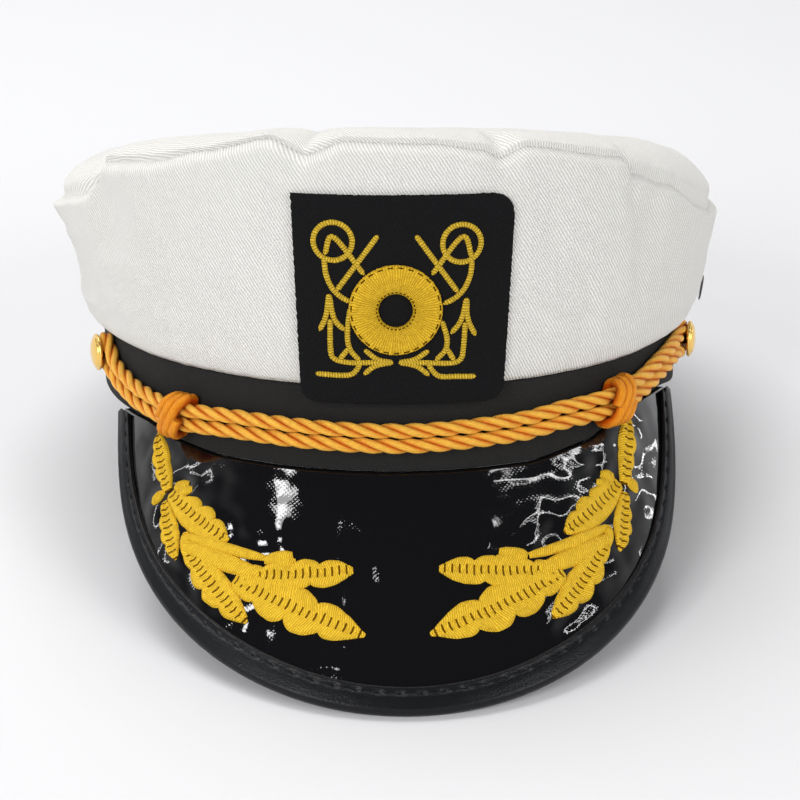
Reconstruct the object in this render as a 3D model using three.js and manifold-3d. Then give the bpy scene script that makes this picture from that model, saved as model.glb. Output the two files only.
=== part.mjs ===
import * as THREE from 'three';
import Module from 'manifold-3d';

// Hat frame: origin at the centre of the band's lower edge, x right, y back, z up, millimetres.
// The front of the hat faces -y. The whole hat then tips back onto its peak and the back of its band.

const BAND_HALF_WIDTH = 90.7;
const BAND_HALF_LENGTH = 102;
const BAND_HEIGHT = 24.5;
const BAND_WALL = 2.4;
const BAND_EDGE = 0.5;
const SEAM_GAP = 0.3;

const CROWN_WALL = 1.8;
const CROWN_FLARE_SIDE = 12.2;
const CROWN_FLARE_FRONT = 5.5;
const CROWN_FLARE_BACK = 8;
const CROWN_FRONT_HEIGHT = 69.2;

const TOP_WALL = 1.8;
const TOP_FRONT_PUFF = 6.9;
const TOP_BACK_PUFF = 7.2;
const TOP_SLOPE_POWER = 1.35;
const TOP_ROLL_POWER = 14;

const VISOR_LENGTH = 68.4;
const VISOR_SLOPE = THREE.MathUtils.degToRad(50);
const VISOR_END_ANGLE = 65.2;
const VISOR_ROUND = 1.97;
const VISOR_TAPER = 1.38;
const VISOR_WALL = 2;
const VISOR_STUB = 1.4;
const VISOR_TUCK = 0.8 * BAND_WALL;
const VISOR_STEPS = 44;
const REAR_STEPS = 22;

const BINDING_WIDTH = 6;
const BINDING_WALL = 1.1;
const BINDING_RIM = 1.5;

const CORD_RADIUS = 2.05;
const CORD_STANDOFF = CORD_RADIUS + SEAM_GAP;
const CORD_SPACING = 2 * CORD_RADIUS + SEAM_GAP;

const KNOT_ANGLE_LEFT = -42.7;
const KNOT_ANGLE_RIGHT = 41.3;
const KNOT_WALL = 1.1;
const KNOT_WIDTH = 10.5;
const KNOT_SPREAD = 9;
const KNOT_CLEARANCE = 0.4;

// Angle round the band and height as a share of the band's height.
const BUTTON_LEFT = { angle: -70.5, height: 0.755 };
const BUTTON_RIGHT = { angle: 74, height: 0.788 };
const BUTTON_RADIUS = 5.6;
const BUTTON_SHANK_RADIUS = 1.5;
const BUTTON_HEAD = 2.4;
const CORD_LOOP_RADIUS = CORD_RADIUS + BUTTON_SHANK_RADIUS + 1.2 * SEAM_GAP;
const CORD_TURN_ROOM = 2.2;

const EYELET_ANGLE_LEFT = -101;
const EYELET_ANGLE_RIGHT = 78;
const EYELET_RADIUS = 3.9;
const EYELET_BORE = 1.7;
const EYELET_SHARE = 0.26;
const EYELET_LIFT = 0.5;

const PATCH_TOP_WIDTH = 61.5;
const PATCH_BOTTOM_WIDTH = 56.5;
const PATCH_HEIGHT = 59.4;
const PATCH_OVERLAP = 3.9;
const PATCH_WALL = 1.2;
const PATCH_SHIFT = -0.3;
const PATCH_HANG = 0.072;
const PATCH_CORNER_TOP = 5.5;
const PATCH_CORNER_BOTTOM = 4.5;
const PATCH_BOTTOM = BAND_HEIGHT - PATCH_OVERLAP;

const RING_RADIUS = 12.9;
const RING_HOLE = 4.6;
const RING_HEIGHT = 1.3;
const RING_SHIFT = -0.04 * PATCH_TOP_WIDTH;
const RING_RISE = 0.458 * PATCH_HEIGHT;

const LEAF_HEIGHT = 1.3;

const RINGS_ROUND = 66;
const REST_SINK = 0.5;

const rad = THREE.MathUtils.degToRad;
const clamp = THREE.MathUtils.clamp;

// Round the hat, angle in degrees from the front (positive to the right): height of the wall as a share
// of its height at the front. The seam has a notch beside each side of the patch, and steps down at both
// corners.
const SEAM_ROWS = [
  { angle: -180, height: 0.42 },
  { angle: -130, height: 0.45 },
  { angle: -100, height: 0.49 },
  { angle: -84, height: 0.54 },
  { angle: -70, height: 0.62 },
  { angle: -64, height: 0.66 },
  { angle: -59.5, height: 0.807 },
  { angle: -46, height: 0.855 },
  { angle: -35, height: 0.926 },
  { angle: -22.5, height: 1 },
  { angle: -16.8, height: 0.937 },
  { angle: -10, height: 1 },
  { angle: 5, height: 0.99 },
  { angle: 13, height: 0.96 },
  { angle: 16.3, height: 0.921 },
  { angle: 20.5, height: 0.966 },
  { angle: 39.5, height: 0.882 },
  { angle: 42.5, height: 0.8 },
  { angle: 52, height: 0.723 },
  { angle: 65, height: 0.574 },
  { angle: 72, height: 0.52 },
  { angle: 100, height: 0.49 },
  { angle: 130, height: 0.45 },
  { angle: 180, height: 0.42 },
];

// Round the hat: how far the band's lower edge rises, as a share of the band's height. The peak is sewn
// to it.
const EDGE_ROWS = [
  { angle: -150, rise: 0 },
  { angle: -110, rise: 0.1 },
  { angle: -77, rise: 0.15 },
  { angle: -54, rise: 0.155 },
  { angle: -45, rise: 0.05 },
  { angle: -36, rise: 0 },
  { angle: 24, rise: 0 },
  { angle: 36, rise: 0.1 },
  { angle: 46, rise: 0.31 },
  { angle: 54, rise: 0.375 },
  { angle: 62, rise: 0.37 },
  { angle: 76, rise: 0.22 },
  { angle: 110, rise: 0.1 },
  { angle: 150, rise: 0 },
];

// How much of that rise the peak's outer edge keeps: none at the front, all of it at both ends.
const KEEP_ROWS = [
  { angle: 44, keep: 0 },
  { angle: 62, keep: 1 },
];

// How much of the flare the wall has reached at each share of its height.
const WALL_ROWS = [
  { share: 0, flare: 0.08 },
  { share: 0.035, flare: 0.3 },
  { share: 0.1, flare: 0.45 },
  { share: 0.25, flare: 0.62 },
  { share: 0.5, flare: 0.8 },
  { share: 0.78, flare: 0.94 },
  { share: 0.93, flare: 1.0 },
  { share: 1, flare: 0.95 },
];

// Folds and dents of the crown: where and how wide in degrees, from which share of the wall's height to
// which, and how deep as a share of the side flare (outward is positive).
const FOLD_ROWS = [
  { angle: -16.8, spread: 3, low: 0.93, high: 1.03, depth: -0.13 },
  { angle: 16.3, spread: 3, low: 0.93, high: 1.03, depth: -0.13 },
  { angle: -57, spread: 6, low: 0.55, high: 1.0, depth: -0.18 },
  { angle: 47, spread: 4, low: 0.6, high: 1.0, depth: -0.15 },
  { angle: -88, spread: 10, low: 0.86, high: 1.0, depth: 0.22 },
  { angle: -80, spread: 13, low: 0.3, high: 0.62, depth: -0.16 },
  { angle: 72, spread: 7, low: 0.45, high: 0.85, depth: -0.12 },
  { angle: 118, spread: 12, low: 0.2, high: 0.9, depth: -0.16 },
  { angle: -124, spread: 13, low: 0.2, high: 0.9, depth: -0.16 },
  { angle: 168, spread: 12, low: 0.1, high: 0.8, depth: -0.13 },
];

// Height of the cord pair as a share of the band's height.
const CORD_ROWS = [
  { angle: -70.5, height: 0.755 },
  { angle: -63, height: 0.555 },
  { angle: -55, height: 0.449 },
  { angle: -45, height: 0.412 },
  { angle: -30, height: 0.449 },
  { angle: 0, height: 0.42 },
  { angle: 21, height: 0.465 },
  { angle: 30, height: 0.527 },
  { angle: 42, height: 0.551 },
  { angle: 50, height: 0.62 },
  { angle: 58, height: 0.718 },
  { angle: 66, height: 0.78 },
  { angle: 74, height: 0.788 },
];

// Leaves and stems of one spray on the peak: root and tip as an angle and a share of the peak's length
// down from the band, width as a share of the same length.
const LEAF_ROWS = [
  { rootAngle: 40.5, root: 0.212, tipAngle: 48.5, tip: 0.0585, width: 0.0804 },
  { rootAngle: 39.5, root: 0.222, tipAngle: 26.5, tip: 0.322, width: 0.11 },
  { rootAngle: 40.3, root: 0.227, tipAngle: 34, tip: 0.461, width: 0.0731 },
  { rootAngle: 31.5, root: 0.417, tipAngle: 19.9, tip: 0.665, width: 0.102 },
  { rootAngle: 22, root: 0.475, tipAngle: 6.2, tip: 0.402, width: 0.117 },
  { rootAngle: 23, root: 0.504, tipAngle: 4.1, tip: 0.681, width: 0.146 },
  { rootAngle: 33, root: 0.38, tipAngle: 16, tip: 0.37, width: 0.038 },
  { rootAngle: 41, root: 0.19, tipAngle: 30, tip: 0.439, width: 0.0439 },
  { rootAngle: 33, root: 0.409, tipAngle: 20, tip: 0.519, width: 0.0439 },
];

function rowsValue(rows, key, value, at) {
  if (at <= rows[0][key]) return rows[0][value];
  for (let i = 1; i < rows.length; i += 1) {
    if (at <= rows[i][key]) {
      const share = (at - rows[i - 1][key]) / (rows[i][key] - rows[i - 1][key]);
      const eased = share * share * (3 - 2 * share);
      const blend = 0.5 * (share + eased);
      return rows[i - 1][value] + blend * (rows[i][value] - rows[i - 1][value]);
    }
  }
  return rows[rows.length - 1][value];
}

// A point on the band's outer ellipse, the level direction out of it and its length per radian.
function bandAt(degrees) {
  const u = rad(degrees);
  const point = new THREE.Vector3(
    BAND_HALF_WIDTH * Math.sin(u), -BAND_HALF_LENGTH * Math.cos(u), 0);
  const out = new THREE.Vector3(
    BAND_HALF_LENGTH * Math.sin(u), -BAND_HALF_WIDTH * Math.cos(u), 0).normalize();
  const stretch = Math.hypot(
    BAND_HALF_WIDTH * Math.cos(u), BAND_HALF_LENGTH * Math.sin(u));
  return { point, out, stretch };
}

function onBand(degrees, offset, height) {
  const { point, out } = bandAt(degrees);
  return point.addScaledVector(out, offset).setZ(height);
}

function angleGap(a, b) {
  return ((a - b + 180) % 360 + 360) % 360 - 180;
}

function edgeRise(degrees) {
  return BAND_HEIGHT * rowsValue(EDGE_ROWS, 'angle', 'rise', angleGap(degrees, 0));
}

function crownHeight(degrees) {
  return CROWN_FRONT_HEIGHT * rowsValue(SEAM_ROWS, 'angle', 'height', angleGap(degrees, 0));
}

function crownFlare(degrees) {
  const front = Math.max(0, Math.cos(rad(degrees)));
  const back = Math.max(0, -Math.cos(rad(degrees)));
  return CROWN_FLARE_SIDE
    + (CROWN_FLARE_FRONT - CROWN_FLARE_SIDE) * front ** 2
    + (CROWN_FLARE_BACK - CROWN_FLARE_SIDE) * back ** 2;
}

function foldDepth(degrees, share) {
  let depth = 0;
  for (const fold of FOLD_ROWS) {
    const side = angleGap(degrees, fold.angle) / fold.spread;
    const middle = 0.5 * (fold.low + fold.high);
    const half = 0.5 * (fold.high - fold.low) + 0.08;
    const rise = clamp(1 - Math.abs(share - middle) / half, 0, 1);
    depth += fold.depth * CROWN_FLARE_SIDE * Math.exp(-side * side) * rise ** 0.7;
  }
  return depth;
}

const CROWN_BASE = BAND_HEIGHT + SEAM_GAP;

// The outer face of the crown's wall: share 0 at the band, 1 at the seam with the top panel.
function crownOut(degrees, share) {
  const flare = crownFlare(degrees) * rowsValue(WALL_ROWS, 'share', 'flare', share);
  return flare + foldDepth(degrees, share);
}

function crownPoint(degrees, share, inset) {
  const height = CROWN_BASE + share * crownHeight(degrees);
  return onBand(degrees, crownOut(degrees, share) - inset, height);
}

// One closed mesh from rings of points. A looped sweep has no ends; the ends of an open one are zipped shut.
function sweep(rings, looped) {
  const count = rings[0].length;
  const positions = [];
  for (const ring of rings) for (const p of ring) positions.push(p.x, p.y, p.z);
  const faces = [];
  const last = looped ? rings.length : rings.length - 1;
  for (let i = 0; i < last; i += 1) {
    const a = i * count;
    const b = ((i + 1) % rings.length) * count;
    for (let j = 0; j < count; j += 1) {
      const k = (j + 1) % count;
      faces.push(a + j, b + j, b + k, a + j, b + k, a + k);
    }
  }
  if (!looped) {
    zipEnd(faces, 0, count, false);
    zipEnd(faces, (rings.length - 1) * count, count, true);
  }
  return outward(positions, faces);
}

function zipEnd(faces, base, count, flip) {
  let low = 0;
  let high = count - 1;
  while (high - low > 1) {
    const first = [base + low, base + low + 1, base + high];
    faces.push(...(flip ? first.reverse() : first));
    low += 1;
    if (high - low > 1) {
      const second = [base + low, base + high - 1, base + high];
      faces.push(...(flip ? second.reverse() : second));
      high -= 1;
    }
  }
}

// Indexed geometry whose faces look outward: the signed volume tells which way round they are.
function outward(positions, faces) {
  const at = (i) => new THREE.Vector3().fromArray(positions, 3 * i);
  let volume = 0;
  for (let i = 0; i < faces.length; i += 3) {
    volume += at(faces[i]).dot(at(faces[i + 1]).cross(at(faces[i + 2])));
  }
  const turned = [];
  for (let i = 0; i < faces.length; i += 3) {
    const [a, b, c] = faces.slice(i, i + 3);
    turned.push(a, volume < 0 ? c : b, volume < 0 ? b : c);
  }
  const geometry = new THREE.BufferGeometry();
  geometry.setAttribute('position', new THREE.Float32BufferAttribute(positions, 3));
  geometry.setIndex(turned);
  geometry.computeVertexNormals();
  return geometry;
}

// A skin over a grid of points: top and bottom layers joined by a rim.
function slab(top, bottom) {
  const rows = top.length;
  const columns = top[0].length;
  const size = rows * columns;
  const positions = [];
  for (const layer of [top, bottom]) {
    for (const row of layer) for (const p of row) positions.push(p.x, p.y, p.z);
  }
  const id = (layer, i, j) => layer * size + i * columns + j;
  const faces = [];
  for (let i = 0; i + 1 < rows; i += 1) {
    for (let j = 0; j + 1 < columns; j += 1) {
      const quad = (l) => [id(l, i, j), id(l, i + 1, j), id(l, i + 1, j + 1), id(l, i, j + 1)];
      const [a, b, c, d] = quad(0);
      faces.push(a, b, c, a, c, d);
      const [e, f, g, h] = quad(1);
      faces.push(e, g, f, e, h, g);
    }
  }
  const rim = [];
  for (let j = 0; j < columns; j += 1) rim.push([0, j]);
  for (let i = 1; i < rows; i += 1) rim.push([i, columns - 1]);
  for (let j = columns - 2; j >= 0; j -= 1) rim.push([rows - 1, j]);
  for (let i = rows - 2; i > 0; i -= 1) rim.push([i, 0]);
  rim.forEach(([i, j], n) => {
    const [k, l] = rim[(n + 1) % rim.length];
    faces.push(id(0, i, j), id(0, k, l), id(1, k, l), id(0, i, j), id(1, k, l), id(1, i, j));
  });
  return outward(positions, faces);
}

function roundAngles(count) {
  return Array.from({ length: count }, (_, i) => (i * 360) / count);
}

function headbandGeometry() {
  const section = [
    { out: 0, height: BAND_EDGE },
    { out: 0, height: BAND_HEIGHT - BAND_EDGE },
    { out: -BAND_EDGE, height: BAND_HEIGHT },
    { out: -BAND_WALL, height: BAND_HEIGHT },
    { out: -BAND_WALL, height: 0 },
    { out: -BAND_EDGE, height: 0 },
  ];
  return sweep(bandAngles().map((degrees) => section.map((row) => onBand(
    degrees, row.out, row.height + (row.height <= BAND_EDGE ? edgeRise(degrees) : 0)))), true);
}

function crownSideGeometry() {
  const shares = [0, 0.035, 0.1, 0.25, 0.5, 0.78, 0.93, 1];
  return sweep(roundAngles(RINGS_ROUND).map((degrees) => {
    const outer = shares.map((share) => crownPoint(degrees, share, 0));
    const inner = shares.map((share) => crownPoint(degrees, share, CROWN_WALL));
    return [...outer, ...inner.reverse()];
  }), true);
}

// Height of the top panel without its rolled edge: high at the front, level towards the back.
function panelHeight(y) {
  const reach = BAND_HALF_LENGTH + CROWN_FLARE_FRONT;
  const share = clamp((1 - y / reach) / 2, 0, 1);
  const front = CROWN_BASE + crownHeight(0) + TOP_FRONT_PUFF;
  const back = CROWN_BASE + crownHeight(180) + TOP_BACK_PUFF;
  return back + (front - back) * share ** TOP_SLOPE_POWER;
}

function crownTopGeometry() {
  const shares = [1, 0.985, 0.955, 0.9, 0.78, 0.5];
  const angles = roundAngles(RINGS_ROUND);
  const rim = angles.map((degrees) => {
    const edge = crownPoint(degrees, 1, 0);
    edge.z += SEAM_GAP;
    return edge;
  });
  const level = (inset) => {
    const rings = shares.map((share) => rim.map((edge) => {
      const p = new THREE.Vector3(edge.x * share, edge.y * share, 0);
      const full = panelHeight(p.y);
      const drop = panelHeight(edge.y) - edge.z - TOP_WALL;
      p.z = full - drop * share ** TOP_ROLL_POWER - inset;
      return p;
    }));
    return rings;
  };
  const top = level(0);
  const bottom = level(TOP_WALL);
  const positions = [];
  const push = (p) => positions.push(p.x, p.y, p.z);
  top.forEach((ring) => ring.forEach(push));
  bottom.forEach((ring) => ring.forEach(push));
  push(new THREE.Vector3(0, 0, panelHeight(0)));
  push(new THREE.Vector3(0, 0, panelHeight(0) - TOP_WALL));
  const count = angles.length;
  const rings = shares.length;
  const id = (layer, ring, i) => (layer * rings + ring) * count + (i % count);
  const middle = 2 * rings * count;
  const faces = [];
  for (let i = 0; i < count; i += 1) {
    for (let r = 0; r + 1 < rings; r += 1) {
      faces.push(id(0, r, i), id(0, r, i + 1), id(0, r + 1, i + 1));
      faces.push(id(0, r, i), id(0, r + 1, i + 1), id(0, r + 1, i));
      faces.push(id(1, r, i), id(1, r + 1, i + 1), id(1, r, i + 1));
      faces.push(id(1, r, i), id(1, r + 1, i), id(1, r + 1, i + 1));
    }
    faces.push(id(0, rings - 1, i), id(0, rings - 1, i + 1), middle);
    faces.push(id(1, rings - 1, i + 1), id(1, rings - 1, i), middle + 1);
    faces.push(id(0, 0, i), id(1, 0, i), id(1, 0, i + 1));
    faces.push(id(0, 0, i), id(1, 0, i + 1), id(0, 0, i + 1));
  }
  return outward(positions, faces);
}

// The peak's own angles at the front, so that band and peak meet on the same line, and even steps behind.
function bandAngles() {
  const front = visorAngles(VISOR_STEPS);
  const end = visorEndAngle();
  const behind = Array.from({ length: REAR_STEPS - 1 }, (_, i) => (
    end + ((360 - 2 * end) * (i + 1)) / REAR_STEPS));
  return [...front, ...behind];
}

function visorReach(degrees) {
  const share = Math.min(1, Math.abs(degrees) / VISOR_END_ANGLE);
  return VISOR_LENGTH * (1 - share ** VISOR_ROUND) ** VISOR_TAPER;
}

// The peak's middle surface: distance down the slope from the band, lift square to it. Its seam follows the
// band's lower edge.
function visorPoint(degrees, distance, lift) {
  const { point, out } = bandAt(degrees);
  const cos = Math.cos(VISOR_SLOPE);
  const sin = Math.sin(VISOR_SLOPE);
  const drop = SEAM_GAP + 0.5 * VISOR_WALL * cos;
  const keep = rowsValue(KEEP_ROWS, 'angle', 'keep', Math.abs(degrees));
  const run = Math.min(1, distance / Math.max(visorReach(degrees), VISOR_STUB));
  point.addScaledVector(out, distance * cos + lift * sin);
  point.z = edgeRise(degrees) * (1 - run * (1 - keep)) - drop - distance * sin + lift * cos;
  return point;
}

function visorEndAngle() {
  const share = (1 - (VISOR_STUB / VISOR_LENGTH) ** (1 / VISOR_TAPER)) ** (1 / VISOR_ROUND);
  return VISOR_END_ANGLE * share;
}

function visorAngles(count) {
  const end = visorEndAngle();
  return Array.from({ length: count + 1 }, (_, i) => end * Math.sin(Math.PI * (i / count - 0.5)));
}

function visorGeometry() {
  const shares = [0, 0.25, 0.5, 0.75, 1];
  const half = 0.5 * VISOR_WALL;
  return sweep(visorAngles(VISOR_STEPS).map((degrees) => {
    const reach = visorReach(degrees);
    const upper = shares.map((share) => visorPoint(degrees, reach * share, half));
    const lower = shares.map((share) => visorPoint(degrees, reach * share, -half));
    const { out } = bandAt(degrees);
    const tuckUpper = upper[0].clone().addScaledVector(out, -VISOR_TUCK);
    const tuckLower = lower[0].clone().addScaledVector(out, -VISOR_TUCK * 0.7);
    return [tuckUpper, ...upper, ...lower.reverse(), tuckLower];
  }), false);
}

// A point beside the peak's edge: inward distance measured in the surface, lift square to it.
function besideEdge(degrees, inward, lift) {
  const step = 0.05;
  const reach = visorReach(degrees);
  const { stretch } = bandAt(degrees);
  const slope = (visorReach(degrees + step) - visorReach(degrees - step)) / rad(2 * step);
  const size = Math.hypot(stretch, slope);
  const turn = THREE.MathUtils.radToDeg((inward * slope) / size / stretch);
  const distance = Math.max(reach - (inward * stretch) / size, 0.6);
  return visorPoint(degrees + turn, distance, lift);
}

function bindingGeometry() {
  const half = 0.5 * VISOR_WALL + SEAM_GAP;
  const full = half + BINDING_WALL;
  const rows = [
    { inward: BINDING_WIDTH, lift: full },
    { inward: 0.5 * BINDING_WIDTH, lift: full },
    { inward: 0, lift: full },
    { inward: -SEAM_GAP - 0.6 * BINDING_RIM, lift: 0.75 * full },
    { inward: -SEAM_GAP - BINDING_RIM, lift: 0 },
    { inward: -SEAM_GAP - 0.6 * BINDING_RIM, lift: -0.75 * full },
    { inward: 0, lift: -full },
    { inward: BINDING_WIDTH, lift: -full },
    { inward: BINDING_WIDTH, lift: -half },
    { inward: -SEAM_GAP, lift: -half },
    { inward: -SEAM_GAP, lift: half },
    { inward: BINDING_WIDTH, lift: half },
  ];
  return sweep(visorAngles(VISOR_STEPS).map(
    (degrees) => rows.map((row) => besideEdge(degrees, row.inward, row.lift))), false);
}

function cordHeight(degrees) {
  return BAND_HEIGHT * rowsValue(CORD_ROWS, 'angle', 'height', degrees);
}

function knotLift(degrees) {
  const left = (degrees - KNOT_ANGLE_LEFT) / KNOT_SPREAD;
  const right = (degrees - KNOT_ANGLE_RIGHT) / KNOT_SPREAD;
  return (KNOT_CLEARANCE + KNOT_WALL) * (Math.exp(-left * left) + Math.exp(-right * right));
}

function degreesFor(length, degrees) {
  return THREE.MathUtils.radToDeg(length / bandAt(degrees).stretch);
}

// The closed route of the cord: two runs across the front and a turn round the shank of each button.
function cordRoute() {
  const route = [];
  const steps = 44;
  const turnAngles = [105, 75, 45, 15, -15, -45, -75, -105];
  const ends = [BUTTON_LEFT, BUTTON_RIGHT].map((button) => {
    const side = Math.sign(button.angle);
    const room = degreesFor(CORD_TURN_ROOM * CORD_LOOP_RADIUS, button.angle);
    return button.angle - side * room;
  });
  for (const level of [1, -1]) {
    const [from, to] = level > 0 ? [ends[1], ends[0]] : ends;
    for (let i = 0; i <= steps; i += 1) {
      const degrees = from + ((to - from) * i) / steps;
      route.push({ degrees, height: cordHeight(degrees) + 0.5 * level * CORD_SPACING });
    }
    const button = level > 0 ? BUTTON_LEFT : BUTTON_RIGHT;
    for (const turn of turnAngles) {
      const across = degreesFor(CORD_LOOP_RADIUS * Math.cos(rad(turn)), button.angle);
      const rise = CORD_LOOP_RADIUS * Math.sin(rad(turn));
      route.push({
        degrees: button.angle - level * across,
        height: BAND_HEIGHT * button.height + level * rise,
      });
    }
  }
  return route.map(({ degrees, height }) => onBand(
    degrees, CORD_STANDOFF + knotLift(degrees), height));
}

function cordGeometry() {
  const curve = new THREE.CatmullRomCurve3(cordRoute(), true, 'centripetal');
  const stations = 96;
  const sides = 8;
  const rings = [];
  for (let i = 0; i < stations; i += 1) {
    const centre = curve.getPointAt(i / stations);
    const tangent = curve.getTangentAt(i / stations);
    const radial = new THREE.Vector3(
      centre.x / BAND_HALF_WIDTH ** 2, centre.y / BAND_HALF_LENGTH ** 2, 0).normalize();
    const up = new THREE.Vector3().crossVectors(tangent, radial).normalize();
    const out = new THREE.Vector3().crossVectors(up, tangent).normalize();
    rings.push(Array.from({ length: sides }, (_, k) => {
      const angle = (2 * Math.PI * (k + 0.5)) / sides;
      return centre.clone()
        .addScaledVector(out, CORD_RADIUS * Math.cos(angle))
        .addScaledVector(up, CORD_RADIUS * Math.sin(angle));
    }));
  }
  return sweep(rings, true);
}

// A wrap round both runs of the cord: a closed ring whose section bulges outward.
function knotGeometry(degrees) {
  const across = CORD_RADIUS + KNOT_CLEARANCE;
  const half = 0.5 * CORD_SPACING;
  const stations = 16;
  const section = [
    { along: -0.5, out: 0 },
    { along: -0.42, out: 0.75 },
    { along: -0.2, out: 1.0 },
    { along: 0.2, out: 1.0 },
    { along: 0.42, out: 0.75 },
    { along: 0.5, out: 0 },
  ];
  const rings = [];
  for (let i = 0; i < stations; i += 1) {
    const angle = (2 * Math.PI * i) / stations;
    const outDirection = Math.cos(angle);
    const upDirection = Math.sin(angle);
    const shift = half * Math.sign(upDirection) * Math.min(1, Math.abs(upDirection) * 3);
    const bulge = outDirection > 0 ? 0.8 * outDirection : 0;
    rings.push(section.map((row) => {
      const size = across + row.out * (KNOT_WALL + bulge);
      const at = degrees + degreesFor(row.along * KNOT_WIDTH, degrees);
      const out = CORD_STANDOFF + knotLift(at) + size * outDirection;
      return onBand(at, out, cordHeight(at) + shift + size * upDirection);
    }));
  }
  return sweep(rings, true);
}

// Turned profiles close on their axis, which points out of the band.
function turned(profile, segments) {
  const points = profile.map(([radius, height]) => new THREE.Vector2(radius, height));
  return new THREE.LatheGeometry(points, segments);
}

function buttonGeometry() {
  const under = CORD_STANDOFF + CORD_RADIUS + SEAM_GAP;
  const top = under + BUTTON_HEAD;
  return turned([
    [0, SEAM_GAP],
    [BUTTON_SHANK_RADIUS, SEAM_GAP],
    [BUTTON_SHANK_RADIUS, under],
    [0.93 * BUTTON_RADIUS, under],
    [BUTTON_RADIUS, under + 0.25 * BUTTON_HEAD],
    [0.9 * BUTTON_RADIUS, under + 0.6 * BUTTON_HEAD],
    [0.55 * BUTTON_RADIUS, under + 0.9 * BUTTON_HEAD],
    [0, top],
  ], 16);
}

function eyeletGeometry() {
  return turned([
    [EYELET_BORE, SEAM_GAP],
    [EYELET_RADIUS, SEAM_GAP],
    [0.93 * EYELET_RADIUS, 0.6 * (SEAM_GAP + EYELET_LIFT)],
    [0.68 * EYELET_RADIUS, SEAM_GAP + EYELET_LIFT],
    [EYELET_BORE, 0.7 * (SEAM_GAP + EYELET_LIFT)],
    [EYELET_BORE, SEAM_GAP],
  ], 16);
}

function facing(mesh, point, normal) {
  mesh.position.copy(point);
  mesh.quaternion.setFromUnitVectors(new THREE.Vector3(0, 1, 0), normal.clone().normalize());
  return mesh;
}

// The front of the crown as a surface over x and height; below the crown it hangs straight down.
function frontPoint(x, height, lift) {
  const hangs = Math.max(height - CROWN_BASE, PATCH_HANG * CROWN_FRONT_HEIGHT);
  let degrees = 0;
  let offset = 0;
  for (let i = 0; i < 12; i += 1) {
    const { out } = bandAt(degrees);
    offset = crownFlare(degrees)
      * rowsValue(WALL_ROWS, 'share', 'flare', Math.min(1, hangs / crownHeight(degrees)));
    const sine = (x - (offset + lift) * out.x) / BAND_HALF_WIDTH;
    degrees = THREE.MathUtils.radToDeg(Math.asin(clamp(sine, -1, 1)));
  }
  return onBand(degrees, offset + lift, height);
}

function patchHalfWidth(height) {
  const share = (height - PATCH_BOTTOM) / PATCH_HEIGHT;
  return 0.5 * (PATCH_BOTTOM_WIDTH + share * (PATCH_TOP_WIDTH - PATCH_BOTTOM_WIDTH));
}

function cornerPull(distance, corner) {
  if (distance >= corner) return 0;
  const side = 1 - distance / corner;
  return corner * (1 - Math.sqrt(1 - side * side));
}

function patchGeometry() {
  const heights = [0, 0.012, 0.035, 0.08, 0.24, 0.42, 0.6, 0.78, 0.91, 0.96, 0.985, 1];
  const columns = 12;
  const layer = (lift) => heights.map((share) => {
    const height = PATCH_BOTTOM + share * PATCH_HEIGHT;
    const half = patchHalfWidth(height);
    const low = cornerPull(height - PATCH_BOTTOM, PATCH_CORNER_BOTTOM);
    const high = cornerPull(PATCH_BOTTOM + PATCH_HEIGHT - height, PATCH_CORNER_TOP);
    const left = PATCH_SHIFT - half + low;
    const right = PATCH_SHIFT + half - Math.max(low, high);
    return Array.from({ length: columns + 1 }, (_, i) => frontPoint(
      left + ((right - left) * i) / columns, height, lift));
  });
  return slab(layer(SEAM_GAP + PATCH_WALL), layer(SEAM_GAP));
}

function ringGeometry() {
  const lift = 2 * SEAM_GAP + PATCH_WALL;
  const profile = [
    { radius: 0, lift: 0 },
    { radius: 0, lift: 0.6 },
    { radius: 0.25, lift: 1 },
    { radius: 0.75, lift: 1 },
    { radius: 1, lift: 0.5 },
    { radius: 1, lift: 0 },
  ];
  const stations = 26;
  return sweep(Array.from({ length: stations }, (_, i) => {
    const angle = (2 * Math.PI * i) / stations;
    return profile.map((row) => {
      const radius = RING_HOLE + row.radius * (RING_RADIUS - RING_HOLE);
      return frontPoint(
        RING_SHIFT + radius * Math.cos(angle),
        PATCH_BOTTOM + RING_RISE + radius * Math.sin(angle),
        lift + row.lift * RING_HEIGHT);
    });
  }), true);
}

// One leaf: a strip with a domed back that follows the peak, widest in its middle.
function leafStrip(row, side) {
  const steps = 4;
  const base = 0.5 * VISOR_WALL + SEAM_GAP;
  const rings = [];
  for (let i = 0; i <= steps; i += 1) {
    const share = i / steps;
    const degrees = row.rootAngle + share * (row.tipAngle - row.rootAngle);
    const distance = VISOR_LENGTH * (row.root + share * (row.tip - row.root));
    const scale = bandAt(degrees).stretch + distance * Math.cos(VISOR_SLOPE);
    const run = new THREE.Vector2(
      rad(row.tipAngle - row.rootAngle) * scale, VISOR_LENGTH * (row.tip - row.root)).normalize();
    const swell = Math.sin(Math.PI * (0.1 + 0.86 * share)) ** 0.8;
    const half = 0.5 * VISOR_LENGTH * row.width * Math.max(0.15, swell);
    const at = (across, lift) => visorPoint(
      side * (degrees - THREE.MathUtils.radToDeg((run.y * across) / scale)),
      distance + run.x * across, lift);
    rings.push([
      at(-half, base),
      at(-half, base + 0.4 * LEAF_HEIGHT),
      at(0, base + LEAF_HEIGHT),
      at(half, base + 0.4 * LEAF_HEIGHT),
      at(half, base),
    ]);
  }
  return sweep(rings, false);
}

const wasm = await Module();
wasm.setup();

function asManifold(geometry) {
  const mesh = new wasm.Mesh({
    numProp: 3,
    vertProperties: geometry.getAttribute('position').array,
    triVerts: new Uint32Array(geometry.index.array),
  });
  return new wasm.Manifold(mesh);
}

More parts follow.
